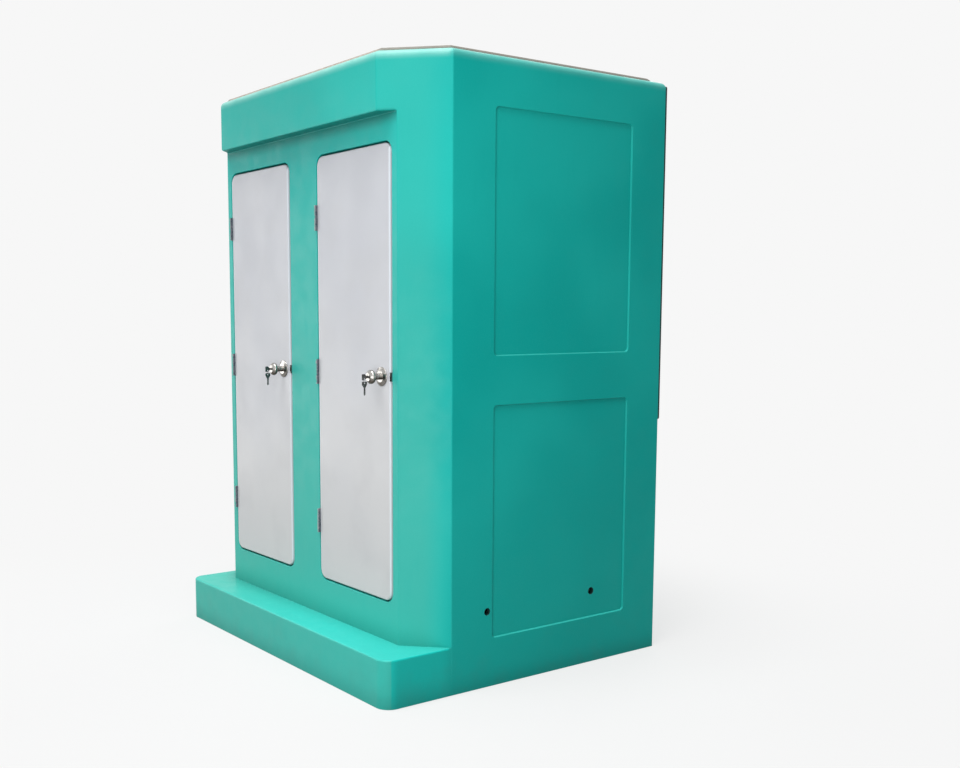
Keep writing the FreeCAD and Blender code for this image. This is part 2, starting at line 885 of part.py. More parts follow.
def hatch_leaf_x(first):
    """Where the hatch's hinge leaves lie: on the frame, or on the hatch's own edge."""
    edge = -hatch_width / 2
    return edge - hatch_gap if first == 0 else edge - leaf_thickness + hatch_seat_depth


def hatch_leaves(first):
    """The hatch's two leaves, on the frame or on the hatch."""
    inner_y = shell_rear_y - hatch_thickness
    return [hinge_leaf(hatch_axis(), hatch_leaf_x(first), inner_y, start, hatch_hinge_height,
                       hatch_knuckle_radius, hatch_pin_radius, first) for start in hatch_hinge_starts()]


def fixed_hinge_leaves():
    """All hinge leaves that stay with the cabin."""
    leaves = []
    for leaf in frame_leaves_at_door():
        leaves += on_both_doors(leaf)
    return group(leaves + hatch_leaves(0))


def hinge_pins():
    """All hinge pins, and the rods that the seats turn on."""
    x, y = door_axis()
    pins = []
    for start in door_hinge_starts():
        pins += on_both_doors(rod(pin_radius, V(x, y, start), V(x, y, start + door_hinge_height)))
    x, y = hatch_axis()
    pins += [rod(hatch_pin_radius, V(x, y, start), V(x, y, start + hatch_hinge_height))
             for start in hatch_hinge_starts()]
    seat_rod = seat_hinge_bar(seat_rod_radius, seat_rod_half())
    return group(pins + [seat_rod, mirrored(seat_rod)])


# Doors, seals and lock sets, drawn at the right door

def knob_centre():
    """Place of the knob's axis on the door's middle height."""
    return door_outer_x - knob_backset, door_centre_z


def bolt_box(margin, x0, x1):
    """The latch bolt's section grown by a margin, between two places across the width."""
    z = door_centre_z
    y = (door_face_y + door_back_y) / 2
    return box(x0, x1, y - bolt_thickness / 2 - margin, y + bolt_thickness / 2 + margin,
               z - bolt_height / 2 - margin, z + bolt_height / 2 + margin)


def bolt_pocket_in_jamb():
    """The pocket for the bolt in the jamb, and the seat of the strike plate."""
    jamb = door_outer_x + door_gap
    depth = bolt_throw + strike_pocket_clearance
    bolt_hole = bolt_box(strike_pocket_clearance, jamb - past, door_outer_x + depth)
    return bolt_hole.fuse(strike_outline(jamb, plate_thickness))


def door():
    """The door leaf with its knob bore and latch pocket."""
    leaf = door_slab(0, door_face_y, door_back_y)
    leaf = leaf.makeFillet(door_edge_round, edges_in_plane(leaf, 1, door_face_y)).fuse(edge_plate_block())
    x, z = knob_centre()
    bore = rod(spindle_bore, V(x, door_face_y - past, z), V(x, door_back_y + past, z))
    pocket = bolt_box(bolt_clearance, door_outer_x - bolt_length - bolt_travel_room, door_outer_x + past)
    return leaf.cut([bore, pocket, edge_plate()])


def edge_plate_block():
    """The square corner that the edge plate needs in the door's rounded edge."""
    return box(door_outer_x - edge_return, door_outer_x, door_face_y, door_face_y + door_edge_round,
               door_centre_z - plate_height / 2, door_centre_z + plate_height / 2)


def edge_plate():
    """The angled plate let into the door's edge: one leg round the bolt, the other on the face."""
    y = (door_face_y + door_back_y) / 2
    z0 = door_centre_z - plate_height / 2
    z1 = door_centre_z + plate_height / 2
    side = box(door_outer_x - plate_thickness, door_outer_x, door_face_y, y + plate_width / 2, z0, z1)
    front = box(door_outer_x - edge_return, door_outer_x, door_face_y, door_face_y + plate_thickness, z0, z1)
    return join([side, front])


def turned(face_y, side, profile):
    """A piece turned about the knob's axis from pairs of radius and distance out of the door's face."""
    x, z = knob_centre()
    points = [V(x + radius, face_y + side * along, z) for radius, along in profile]
    return spun(points, V(x, face_y, z), Y_DIR)


def rounded_rings(solid, face_y, side, rounds):
    """The turned piece with its rings rounded: pairs of distance out of the face and radius of rounding."""
    for along, radius in rounds:
        solid = solid.makeFillet(radius, edges_in_plane(solid, 1, face_y + side * along))
    return solid


def rose(face_y, side):
    """A domed round rose on one face of the door, bored for the knob's neck."""
    bore = knob_neck_radius + turning_clearance
    disc = turned(face_y, side, [(bore, 0), (rose_radius, 0), (rose_radius, rose_rim),
                                 (rose_crown_radius, rose_thickness), (bore, rose_thickness)])
    return rounded_rings(disc, face_y, side, [(rose_rim, rose_round)])


def lock_plates():
    """Outer rose, inner rose and the edge plate with its hole for the bolt."""
    plate = edge_plate().cut(bolt_box(bolt_clearance, door_outer_x - edge_return, door_outer_x + past))
    return group([rose(door_face_y, -1), rose(door_back_y, 1), plate])


def knob(face_y, side, bored):
    """A turned knob: neck in the rose and a rounded cup; the outer one takes the lock plug."""
    x, z = knob_centre()
    start = knob_reach - knob_body_length
    swell = start + knob_swell_length
    shoulder = knob_reach - knob_nose_length
    solid = turned(face_y, side, [(0, resting_gap), (knob_neck_radius, resting_gap), (knob_neck_radius, start),
                                  (knob_radius, swell), (knob_radius, shoulder),
                                  (knob_nose_radius, knob_reach), (0, knob_reach)])
    solid = rounded_rings(solid, face_y, side, [(start, knob_small_round), (swell, knob_round),
                                                (shoulder, knob_round), (knob_reach, knob_small_round)])
    if bored:
        bottom = V(x, face_y + side * (knob_reach - plug_length - turning_clearance), z)
        mouth = V(x, face_y + side * (knob_reach + past), z)
        solid = solid.cut(rod(plug_radius + turning_clearance, bottom, mouth))
    return solid


def knob_inner():
    """The inside knob with the spindle that reaches through the door to the outside knob."""
    x, z = knob_centre()
    spindle = rod(spindle_radius, V(x, door_face_y - resting_gap, z), V(x, door_back_y + past, z))
    return join([knob(door_back_y, 1, False), spindle])


def latch_bolt():
    """The spring latch, with the lead-in slope on its outer end."""
    tip = door_outer_x + bolt_throw
    bolt = bolt_box(0, door_outer_x - bolt_length, tip)
    nose = [edge for edge in edges_along(bolt, 2)
            if edge.BoundBox.XMin > tip - near and edge.BoundBox.YMin > (door_face_y + door_back_y) / 2]
    return bolt.makeChamfer(bolt_slope, nose)


def strike_outline(x, thickness):
    """The strike plate's block on the jamb, from the wall's front to behind the bolt."""
    y = (door_face_y + door_back_y) / 2
    return box(x, x + thickness, door_wall_y, y + plate_width / 2,
               door_centre_z - plate_height / 2, door_centre_z + plate_height / 2)


def strike_plate():
    """The plate let into the jamb, with its lip across part of the gap and its hole for the bolt."""
    jamb = door_outer_x + door_gap
    lip = strike_outline(jamb - strike_lip, strike_lip + past)
    lip = lip.common(box(0, half_width, door_wall_y, door_wall_y + plate_thickness, 0, shell_top))
    plate = strike_outline(jamb, plate_thickness).fuse(lip)
    return join([plate]).cut(bolt_box(strike_pocket_clearance, jamb - past, jamb + strike_lip))


def knob_tip_y():
    """Depth of the outer knob's front."""
    return door_face_y - knob_reach


def key_at(bow_centre, hole_centre, blade_aim):
    """A key in an upright plane: round bow with its ring hole, and a flat blade towards one side."""
    through = V(key_thickness, 0, 0)
    across = blade_aim.cross(X_DIR)

    def plate(outline):
        corners = [bow_centre - through / 2 + blade_aim * along + across * out for along, out in outline]
        return Part.Face(Part.makePolygon(corners + corners[:1])).extrude(through)

    half = key_blade_height / 2
    size = key_bow_radius
    shield = plate([(-size, -size), (-size, size), (0, size), (size, half), (size, -half), (0, -size)])
    shield = shield.makeFillet(key_bow_corner, edges_along(shield, 0))
    tip = size + key_blade_length
    blade = plate([(size - half, -half), (size - half, half), (tip - half, half), (tip, 0),
                   (tip - half, -half)])
    cuts = []
    for index in range(key_cut_count):
        place = key_bow_radius + (index + 1) * key_cut_pitch
        cuts.append(plate([(place - key_cut_depth, half), (place + key_cut_depth, half),
                           (place, half - key_cut_depth)]))
    hole = rod(key_bow_hole, hole_centre - through, hole_centre + through)
    return join([shield, blade]).cut(cuts + [hole])


def key_bow_centre():
    """Centre of the bow of the key that stands in the lock."""
    x, z = knob_centre()
    return V(x, knob_tip_y() - key_standoff - key_bow_radius, z)


def bow_hole_offset():
    """From a bow's centre to its ring hole."""
    return V(0, 0, key_bow_radius - key_bow_hole - key_bow_margin)


def ring_hang():
    """From a ring hole down to the centre of the ring that hangs in it."""
    return V(0, 0, ring_radius + key_bow_hole - ring_wire - ring_play)


def key():
    """The key in the lock, its ring hole at the bow's lower edge."""
    centre = key_bow_centre()
    return key_at(centre, centre - bow_hole_offset(), Y_DIR)


def lock_plug():
    """The round plug in the knob, with the key's slot."""
    x, z = knob_centre()
    plug = rod(plug_radius, V(x, knob_tip_y() - plug_proud, z), V(x, knob_tip_y() + plug_length, z))
    half_thickness = key_thickness / 2 + turning_clearance
    half_height = key_blade_height / 2 + turning_clearance
    end = knob_tip_y() - key_standoff + key_blade_length + turning_clearance
    return plug.cut(box(x - half_thickness, x + half_thickness, knob_tip_y() - past, end,
                        z - half_height, z + half_height))


def spare_key():
    """The ring in the first key's bow, and the second key that hangs on it."""
    centre = key_bow_centre() - bow_hole_offset() - ring_hang()
    ring = Part.makeTorus(ring_radius, ring_wire, centre, Y_DIR)
    hole_centre = centre - ring_hang()
    return group([ring, key_at(hole_centre - bow_hole_offset(), hole_centre, -Z_DIR)])


def door_seals():
    """The rubber seals that the doors close on."""
    rebate_y = door_back_y + seal_thickness
    ring = door_slab(door_gap - seal_clearance, door_back_y + seal_clearance, rebate_y)
    ring = ring.cut(door_slab(-door_stop, door_back_y - past, rebate_y + past))
    return group(on_both_doors(ring))


# Rear hatch and its turn handle

def service_hatch():
    """The hatch leaf in the lower rear wall."""
    leaf = hatch_slab(0, shell_rear_y - hatch_thickness + resting_gap, shell_rear_y)
    x, z = hatch_handle_centre()
    hole = rod(handle_shaft_radius + turning_clearance, V(x, rear_inner_y, z), V(x, shell_rear_y + past, z))
    seats = []
    for start in hatch_hinge_starts():
        seats.append(box(-hatch_width / 2 - past, -hatch_width / 2 + hatch_seat_depth,
                         shell_rear_y - hatch_thickness, shell_rear_y + past,
                         start, start + hatch_hinge_height))
    return leaf.cut([hole] + seats)


def hatch_handle_centre():
    """Place of the turn handle near the hatch's free edge."""
    return hatch_width / 2 - handle_inset, hatch_bottom + hatch_height / 2


def hatch_handle():
    """The turn handle: a low grip outside, a shaft, and the arm that locks behind the frame."""
    x, z = hatch_handle_centre()
    plate_y = shell_rear_y + resting_gap
    grip_y = plate_y + handle_plate_thickness
    arm_y = rear_inner_y - handle_arm_gap
    half_arm = handle_arm_width / 2
    plate = rod(handle_plate_radius, V(x, plate_y, z), V(x, grip_y, z))
    grip = rounded_box(x - handle_grip_length / 2, x + handle_grip_length / 2, grip_y - past, rear_panel_y,
                       z - handle_grip_width / 2, z + handle_grip_width / 2, 1, handle_grip_corner)
    shaft = rod(handle_shaft_radius, V(x, arm_y - past, z), V(x, plate_y + past, z))
    arm = box(x - half_arm, hatch_width / 2 + half_arm, arm_y - handle_arm_thickness, arm_y,
              z - half_arm, z + half_arm)
    sleeve = rod(handle_sleeve_radius, V(x, arm_y - past, z), V(x, shell_rear_y - hatch_thickness, z))
    return join([plate, grip, shaft, arm, sleeve])


# Floor, partition and bulkhead

def floor_pan():
    """The floor on its ribs, with holes for the pan outlets and the basin waste pipes."""
    sheet = prism(body_outline(wall_thickness, front_inner_y, bulkhead_back_y),
                  floor_top - floor_thickness, floor_top)
    front = header_y + tank_front_place
    parts = [sheet]
    spacing = (basin_waste_x() - floor_rib_pipe_gap) / 2
    for index in range(-2, 3):
        x = index * spacing
        parts.append(box(x - floor_rib_thickness / 2, x + floor_rib_thickness / 2, front, bulkhead_back_y,
                         tank_top, floor_top - floor_thickness + past))
    holes = []
    for side in (-1, 1):
        x = side * bay_centre_x
        holes.append(rod(spigot_radius + pipe_clearance, V(x, pan_outlet_y(), tank_top - past),
                         V(x, pan_outlet_y(), floor_top + past)))
        x = side * basin_waste_x()
        y = basin_centre_y()
        holes.append(rod(service_pipe_radius + pipe_clearance, V(x, y, tank_top - past),
                         V(x, y, floor_top + past)))
    return join(parts).cut(holes)


def partition_wall():
    """The wall between the two compartments."""
    half = partition_thickness / 2
    return box(-half, half, front_inner_y, bulkhead_y, floor_top, shell_top - roof_flange_thickness)


def bulkhead():
    """The inner rear wall in front of the service duct, bored for flush pipes and buttons."""
    sheet = box(-side_inner_x, side_inner_x, bulkhead_y, bulkhead_back_y, floor_top, bulkhead_top)
    holes = []
    for side in (-1, 1):
        x = side * bay_centre_x
        for radius, z in ((flush_pipe_radius + pipe_clearance, flush_pipe_height),
                          (flush_rod_radius + turning_clearance, flush_height)):
            holes.append(rod(radius, V(x, bulkhead_y - past, z), V(x, bulkhead_back_y + past, z)))
    return sheet.cut(holes)


# Tank, outlet, gate valve and vent pipe

def waste_tank():
    """The closed tank under the floor, with necks under the pans, a vent hole and its outlet."""
    reach = half_width - tank_side_gap
    y0 = header_y + tank_front_place
    y1 = tank_rear_y
    outer = rounded_box(-reach, reach, y0, y1, tank_bottom, tank_top, 2, tank_corner)
    inner = rounded_box(-reach + tank_skin, reach - tank_skin, y0 + tank_skin, y1 - tank_skin,
                        tank_bottom + tank_skin, tank_top - tank_skin, 2, tank_corner - tank_skin)
    inner_top = tank_top - tank_skin - past
    holes = [rod(tank_neck_radius, V(side * bay_centre_x, pan_outlet_y(), inner_top),
                 V(side * bay_centre_x, pan_outlet_y(), tank_top + past)) for side in (-1, 1)]
    holes.append(rod(vent_pipe_radius + pipe_clearance, V(-vent_pipe_place, vent_pipe_y(), inner_top),
                     V(-vent_pipe_place, vent_pipe_y(), tank_top + past)))
    holes.append(rod(valve_bore_radius, V(0, y1 - tank_skin - past, outlet_height),
                     V(0, y1 + past, outlet_height)))
    return outer.cut([inner] + holes)


def outlet_pipe():
    """The outlet: a short length from the tank to the valve, and one from the valve to the rear."""
    y0 = tank_rear_y
    radius = outlet_radius + outlet_skin
    front = tube(radius, outlet_skin, V(0, y0, outlet_height), V(0, valve_front_y, outlet_height))
    rear = tube(radius, outlet_skin, V(0, valve_rear_y, outlet_height), V(0, rear_panel_y, outlet_height))
    return group([front, rear])


def gate_slot(margin):
    """The gate's flat space in the valve, grown by a margin."""
    middle = valve_rear_y - valve_depth / 2
    half = gate_thickness / 2 + margin
    low = outlet_height - gate_width / 2 - margin
    return box(-gate_width / 2 - margin, gate_width / 2 + margin, middle - half, middle + half,
               low, outlet_height + gate_width / 2)


def gate_valve_body():
    """The valve's flat housing around the gate, open at the top."""
    top = outlet_height + gate_width / 2 + valve_hood
    body = rounded_box(-valve_width / 2, valve_width / 2, valve_front_y, valve_rear_y,
                       tank_bottom, top, 1, valve_corner)
    slot = gate_slot(gate_clearance)
    chimney = gate_slot(gate_clearance)
    chimney.translate(V(0, 0, gate_travel))
    bore = rod(valve_bore_radius, V(0, valve_front_y - past, outlet_height),
               V(0, valve_rear_y + past, outlet_height))
    return body.cut([slot, chimney, bore])


def gate_blade():
    """The gate with its pull rod and T handle."""
    middle = valve_rear_y - valve_depth / 2
    blade_top = outlet_height + gate_width / 2
    stem = rod(gate_stem_radius, V(0, middle, blade_top - past), V(0, middle, gate_handle_height))
    upper = rod(gate_rod_radius, V(0, middle, gate_handle_height - gate_rod_length),
                V(0, middle, gate_handle_height))
    handle = rod(gate_handle_radius, V(-gate_handle_width / 2, middle, gate_handle_height),
                 V(gate_handle_width / 2, middle, gate_handle_height))
    return join([gate_slot(0), stem, upper, handle])


def vent_pipe_y():
    """Depth of the vent pipe, close behind the bulkhead."""
    return bulkhead_back_y + vent_pipe_gap + vent_pipe_radius


def tank_vent_pipe():
    """The pipe that vents the tank up the service duct."""
    return tube(vent_pipe_radius, vent_pipe_skin, V(-vent_pipe_place, vent_pipe_y(), tank_top - tank_skin),
                V(-vent_pipe_place, vent_pipe_y(), shell_top - vent_pipe_top_gap))


# WC pan, seat, cistern and flush parts, drawn in the right compartment

def d_outline(length, width, z, back_y):
    """A D shape in plan: straight at the back, half round at the front."""
    radius = width / 2
    x0 = bay_centre_x - radius
    x1 = bay_centre_x + radius
    arc_y = back_y - length + radius
    edges = [Part.LineSegment(V(x0, arc_y, z), V(x0, back_y, z)).toShape(),
             Part.LineSegment(V(x0, back_y, z), V(x1, back_y, z)).toShape(),
             Part.LineSegment(V(x1, back_y, z), V(x1, arc_y, z)).toShape(),
             Part.Arc(V(x1, arc_y, z), V(bay_centre_x, back_y - length, z), V(x0, arc_y, z)).toShape()]
    return Part.Wire(edges)


def oval(length, width, z, centre_y):
    """An oval in plan, long along the depth."""
    centre = V(bay_centre_x, centre_y, z)
    ring = Part.Wire(Part.Ellipse(centre, length / 2, width / 2).toShape())
    ring.rotate(centre, Z_DIR, 90)
    return ring


def bowl_centre_y():
    """Depth of the bowl's centre."""
    return bulkhead_y - pan_length + bowl_front_margin + bowl_length / 2


def pan_outlet_y():
    """Depth of the outlet under the bowl."""
    return bowl_centre_y() + pan_outlet_offset


def seat_axis_y():
    """Depth of the seat's hinge."""
    return bulkhead_y - seat_hinge_gap


def seat_axis_z():
    """Height of the seat's hinge."""
    return pan_rim_z + seat_barrel_gap + seat_barrel_radius


def seat_rod_half():
    """Half the length of the seat's hinge rod."""
    return seat_barrel_length / 2 + seat_end_play + seat_post_thickness


def seat_hinge_bar(radius, half_length):
    """A round bar along the seat's hinge line."""
    return rod(radius, V(bay_centre_x - half_length, seat_axis_y(), seat_axis_z()),
               V(bay_centre_x + half_length, seat_axis_y(), seat_axis_z()))


def wc_pan():
    """The pan against the bulkhead: tapering body, bowl, outlet spigot, flush inlet and hinge posts."""
    rim_line = d_outline(pan_length, pan_width, pan_rim_z - pan_rim_depth, bulkhead_y)
    body = Part.makeLoft([d_outline(pan_foot_length, pan_foot_width, floor_top, bulkhead_y), rim_line], True)
    rim = Part.Face(rim_line).extrude(V(0, 0, pan_rim_depth))
    spigot = rod(spigot_radius, V(bay_centre_x, pan_outlet_y(), tank_top - tank_skin - spigot_reach),
                 V(bay_centre_x, pan_outlet_y(), floor_top + past))
    post_top = seat_axis_z() + seat_barrel_radius
    posts = []
    for side in (-1, 1):
        inner = seat_barrel_length / 2 + seat_end_play
        x0 = bay_centre_x + (inner if side > 0 else -inner - seat_post_thickness)
        posts.append(rounded_box(x0, x0 + seat_post_thickness, seat_axis_y() - seat_post_width / 2,
                                 seat_axis_y() + seat_post_width / 2, pan_rim_z - past, post_top,
                                 0, seat_post_corner))
    bowl_floor_z = pan_rim_z - bowl_depth
    bowl = Part.makeLoft([oval(bowl_length, bowl_width, pan_rim_z + past, bowl_centre_y()),
                          oval(bowl_floor_length, bowl_floor_width, bowl_floor_z, pan_outlet_y())], True)
    drain = rod(spigot_radius - spigot_skin, V(bay_centre_x, pan_outlet_y(), 0),
                V(bay_centre_x, pan_outlet_y(), bowl_floor_z + past))
    inlet = rod(flush_pipe_radius + pipe_clearance,
                V(bay_centre_x, bulkhead_y - flush_pipe_entry - pipe_clearance, flush_pipe_height),
                V(bay_centre_x, bulkhead_y + past, flush_pipe_height))
    hinge_hole = seat_hinge_bar(seat_rod_radius + pin_clearance, seat_rod_half())
    return join([body, rim, spigot] + posts).cut([bowl, drain, inlet, hinge_hole])


def wc_seat():
    """The seat ring with its hinge barrel."""
    z0 = pan_rim_z + seat_gap
    z1 = z0 + seat_thickness
    outline = d_outline(seat_length, pan_width - 2 * seat_side_gap, z0, seat_axis_y() - seat_back_gap)
    ring = Part.Face(outline).extrude(V(0, 0, seat_thickness))
    hole = Part.Face(oval(seat_hole_length, seat_hole_width, z0, bowl_centre_y())).extrude(
        V(0, 0, seat_thickness))
    ring = ring.cut(hole)
    ring = ring.makeFillet(seat_round, edges_in_plane(ring, 2, z1))
    half = seat_barrel_length / 2
    room = []
    for x0 in (bay_centre_x + half, bay_centre_x - half - seat_post_room):
        room.append(box(x0, x0 + seat_post_room, seat_axis_y() - seat_post_room,
                        seat_axis_y() + seat_post_room, z0 - past, z1 + past))
    barrel = seat_hinge_bar(seat_barrel_radius, half)
    bore = seat_hinge_bar(seat_rod_radius + pin_clearance, half + past)
    return join([ring.cut(room), barrel]).cut(bore)


def cistern():
    """The closed cistern behind the bulkhead, with holes for the flush rod and its two pipes."""
    x0 = bay_centre_x - cistern_width / 2
    x1 = bay_centre_x + cistern_width / 2
    y0 = bulkhead_back_y
    y1 = y0 + cistern_depth
    z1 = cistern_bottom + cistern_height
    outer = rounded_box(x0, x1, y0, y1, cistern_bottom, z1, 2, cistern_corner)
    inner = box(x0 + cistern_skin, x1 - cistern_skin, y0 + cistern_skin, y1 - cistern_skin,
                cistern_bottom + cistern_skin, z1 - cistern_skin)
    rod_hole = rod(flush_rod_radius + pipe_clearance, V(bay_centre_x, y0 - past, flush_height),
                   V(bay_centre_x, y0 + cistern_skin + past, flush_height))
    outlet = rod(flush_pipe_radius - service_pipe_skin, V(bay_centre_x, duct_pipe_y(), cistern_bottom - past),
                 V(bay_centre_x, duct_pipe_y(), cistern_bottom + cistern_skin + past))
    inlet = rod(service_pipe_radius - service_pipe_skin,
                V(x1 - cistern_skin - past, duct_pipe_y(), supply_top()),
                V(x1 + past, duct_pipe_y(), supply_top()))
    return outer.cut([inner, rod_hole, outlet, inlet])


def duct_pipe_y():
    """Depth of the flush pipe and the supply pipe where they run up the duct."""
    return bulkhead_back_y + cistern_depth / 2


def flush_pipe():
    """The pipe from the cistern down and forward into the pan."""
    points = [V(bay_centre_x, duct_pipe_y(), cistern_bottom),
              V(bay_centre_x, duct_pipe_y(), flush_pipe_height),
              V(bay_centre_x, bulkhead_y - flush_pipe_entry, flush_pipe_height)]
    return pipe_run(points, flush_pipe_radius, service_pipe_skin, pipe_bend)


def flush_button():
    """The push button on the bulkhead, with the rod that works the cistern."""
    front = bulkhead_y - flush_button_height - flush_travel
    back = bulkhead_y - flush_travel - flush_button_gap
    disc = rod(flush_button_radius, V(bay_centre_x, front, flush_height), V(bay_centre_x, back, flush_height))
    disc = disc.makeFillet(control_round, edges_in_plane(disc, 1, front))
    stem = rod(flush_rod_radius, V(bay_centre_x, back - past, flush_height),
               V(bay_centre_x, back + flush_rod_length, flush_height))
    return join([disc, stem])


# Basin, tap, pipes and small fittings, drawn in the right compartment

def basin_centre_y():
    """The basin stands over the front pipe hole."""
    return header_y + front_hole_place


def basin_waste_x():
    """Where the basin's waste pipe goes down."""
    return side_inner_x - basin_ledge - (basin_reach - basin_ledge) / 2


def wash_basin():
    """The basin on the side wall: rounded block, hollow, with a ledge for the tap and a waste hole."""
    x0 = side_inner_x - basin_reach
    y0 = basin_centre_y() - basin_width / 2
    y1 = basin_centre_y() + basin_width / 2
    z0 = basin_top - basin_height
    block = box(x0, side_inner_x, y0, y1, z0, basin_top)
    front = [edge for edge in edges_along(block, 2) if edge.BoundBox.XMax < x0 + near]
    block = block.makeFillet(basin_corner, front)
    hollow = rounded_box(x0 + basin_wall, side_inner_x - basin_ledge, y0 + basin_wall, y1 - basin_wall,
                         z0 + basin_wall, basin_top + past, 2, basin_corner - basin_wall)
    hollow = hollow.makeFillet(basin_floor_round, edges_in_plane(hollow, 2, z0 + basin_wall))
    waste = rod(service_pipe_radius - service_pipe_skin, V(basin_waste_x(), basin_centre_y(), z0 - past),
                V(basin_waste_x(), basin_centre_y(), basin_top))
    return block.cut([hollow, waste])


def tap_x():
    """The tap stands in the middle of the basin's ledge."""
    return side_inner_x - basin_ledge / 2


def tap_body():
    """Upright tap with a short spout over the bowl."""
    x = tap_x()
    y = basin_centre_y()
    post = rod(tap_radius, V(x, y, basin_top), V(x, y, basin_top + tap_height))
    spout_z = basin_top + tap_height - 2 * tap_spout_radius
    spout = pipe_run([V(x - tap_radius / 2, y, spout_z), V(x - tap_spout_length, y, spout_z),
                      V(x - tap_spout_length, y, spout_z - tap_spout_drop)],
                     tap_spout_radius, tap_spout_skin, tap_spout_bend)
    post_top = basin_top + tap_height
    socket = rod(lever_stem_radius + turning_clearance, V(x, y, post_top - lever_stem_length - past),
                 V(x, y, post_top + past))
    return join([post, spout]).cut(socket)


def tap_lever():
    """The quarter-turn lever on the tap."""
    x = tap_x()
    y = basin_centre_y()
    z0 = basin_top + tap_height + resting_gap
    cap = rod(tap_radius, V(x, y, z0), V(x, y, z0 + lever_height))
    cap = cap.makeFillet(control_round, edges_in_plane(cap, 2, z0 + lever_height))
    stem = rod(lever_stem_radius, V(x, y, z0 - lever_stem_length), V(x, y, z0 + past))
    arm = rounded_box(x - lever_length, x, y - lever_width / 2, y + lever_width / 2,
                      z0 + lever_rise, z0 + lever_rise + lever_thickness, 2, lever_corner)
    return join([cap, stem, arm])


def basin_waste_pipe():
    """The waste pipe from the basin down through the floor and out to the side wall's front hole."""
    points = [V(basin_waste_x(), basin_centre_y(), basin_top - basin_height),
              V(basin_waste_x(), basin_centre_y(), pipe_hole_height),
              V(side_inner_x, basin_centre_y(), pipe_hole_height)]
    return pipe_run(points, service_pipe_radius, service_pipe_skin, waste_bend)


def supply_run_x():
    """Place across the width of the supply pipe's upright run in the duct."""
    return side_inner_x - supply_run_inset


def supply_top():
    """Height at which the supply pipe enters the cistern."""
    return cistern_bottom + cistern_height - supply_drop


def supply_pipe():
    """The supply pipe from the side wall's rear hole under the floor and up to the cistern."""
    hole_y = header_y + rear_hole_place
    points = [V(side_inner_x, hole_y, pipe_hole_height), V(supply_run_x(), hole_y, pipe_hole_height),
              V(supply_run_x(), duct_pipe_y(), pipe_hole_height),
              V(supply_run_x(), duct_pipe_y(), supply_top()),
              V(bay_centre_x + cistern_width / 2, duct_pipe_y(), supply_top())]
    return pipe_run(points, service_pipe_radius, service_pipe_skin, pipe_bend)


def mirror_plate():
    """The mirror over the basin."""
    y = basin_centre_y()
    return rounded_box(side_inner_x - mirror_thickness, side_inner_x,
                       y - mirror_width / 2, y + mirror_width / 2,
                       mirror_bottom, mirror_bottom + mirror_height, 0, mirror_corner)


def coat_hook():
    """A hook on the partition."""
    x = partition_thickness / 2
    y = header_y + hook_place
    plate = rod(hook_plate_radius, V(x, y, hook_height), V(x + fitting_plate, y, hook_height))
    stem = rod(fitting_rod, V(x + fitting_plate - past, y, hook_height), V(x + hook_reach, y, hook_height))
    tip = Part.makeSphere(hook_tip_radius, V(x + hook_reach, y, hook_height))
    return join([plate, stem, tip])


def paper_holder():
    """A bracket with a rod for the paper roll, on the partition."""
    x = partition_thickness / 2
    y = header_y + paper_place
    plate = rod(paper_plate_radius, V(x, y, paper_height), V(x + fitting_plate, y, paper_height))
    points = [V(x + fitting_plate - past, y, paper_height), V(x + paper_reach, y, paper_height),
              V(x + paper_reach, y + paper_width, paper_height)]
    arm = pipe_run(points, fitting_rod, fitting_rod_skin, paper_bend)
    return join([plate, arm])


def both_sides(shape):
    """A right-hand fitting and its mirror image in one node."""
    return group([shape, mirrored(shape)])


def export_pair(name, shape, left):
    """Write a right-hand node and its left-hand counterpart."""
    export(name + "_right", shape)
    export(name + "_left", left)


def export_door_pair(name, shape):
    """Write a door part and its copy at the left door, which is the same hand."""
    export_pair(name, shape, moved(shape, x=-door_pitch))


front_moulding, side_wall, rear_wall = shell_mouldings()
export("front_moulding", front_moulding)
export_pair("side_wall", side_wall, mirrored(side_wall))
export("rear_wall", rear_wall)
export("base_step", base_step())
export("skid_frame", skid_frame())
export("roof_panel", roof_panel())
export("rear_panel", rear_panel())
export("vent_grilles", vent_grilles())
export("shell_rivets", shell_rivets())

export("fixed_hinge_leaves", fixed_hinge_leaves())
export("hinge_pins", hinge_pins())
export("door_seals", door_seals())
export("strike_plates", group(on_both_doors(strike_plate())))
export_door_pair("door", door())
export_door_pair("door_hinge_leaves", group(door_leaves()))
export_door_pair("lock_plates", lock_plates())
export_door_pair("knob_outer", knob(door_face_y, -1, True))
export_door_pair("knob_inner", knob_inner())
export_door_pair("latch_bolt", latch_bolt())
export_door_pair("lock_plug", lock_plug())
export_door_pair("key", key())
export_door_pair("spare_key", spare_key())

export("service_hatch", service_hatch())
export("hatch_hinge_leaves", group(hatch_leaves(1)))
export("hatch_handle", hatch_handle())

export("floor_pan", floor_pan())
export("partition_wall", partition_wall())
export("bulkhead", bulkhead())
export("waste_tank", waste_tank())
export("outlet_pipe", outlet_pipe())
export("gate_valve_body", gate_valve_body())
export("gate_blade", gate_blade())
export("tank_vent_pipe", tank_vent_pipe())

pan = wc_pan()
seat = wc_seat()
button = flush_button()
lever = tap_lever()
export_pair("wc_pan", pan, mirrored(pan))
export_pair("wc_seat", seat, mirrored(seat))
export_pair("flush_button", button, mirrored(button))
export_pair("tap_lever", lever, mirrored(lever))
export("cisterns", both_sides(cistern()))
export("flush_pipes", both_sides(flush_pipe()))
export("wash_basins", both_sides(wash_basin()))
export("tap_bodies", both_sides(tap_body()))
export("basin_waste_pipes", both_sides(basin_waste_pipe()))
export("supply_pipes", both_sides(supply_pipe()))
export("mirrors", both_sides(mirror_plate()))
export("coat_hooks", both_sides(coat_hook()))
export("paper_holders", both_sides(paper_holder()))
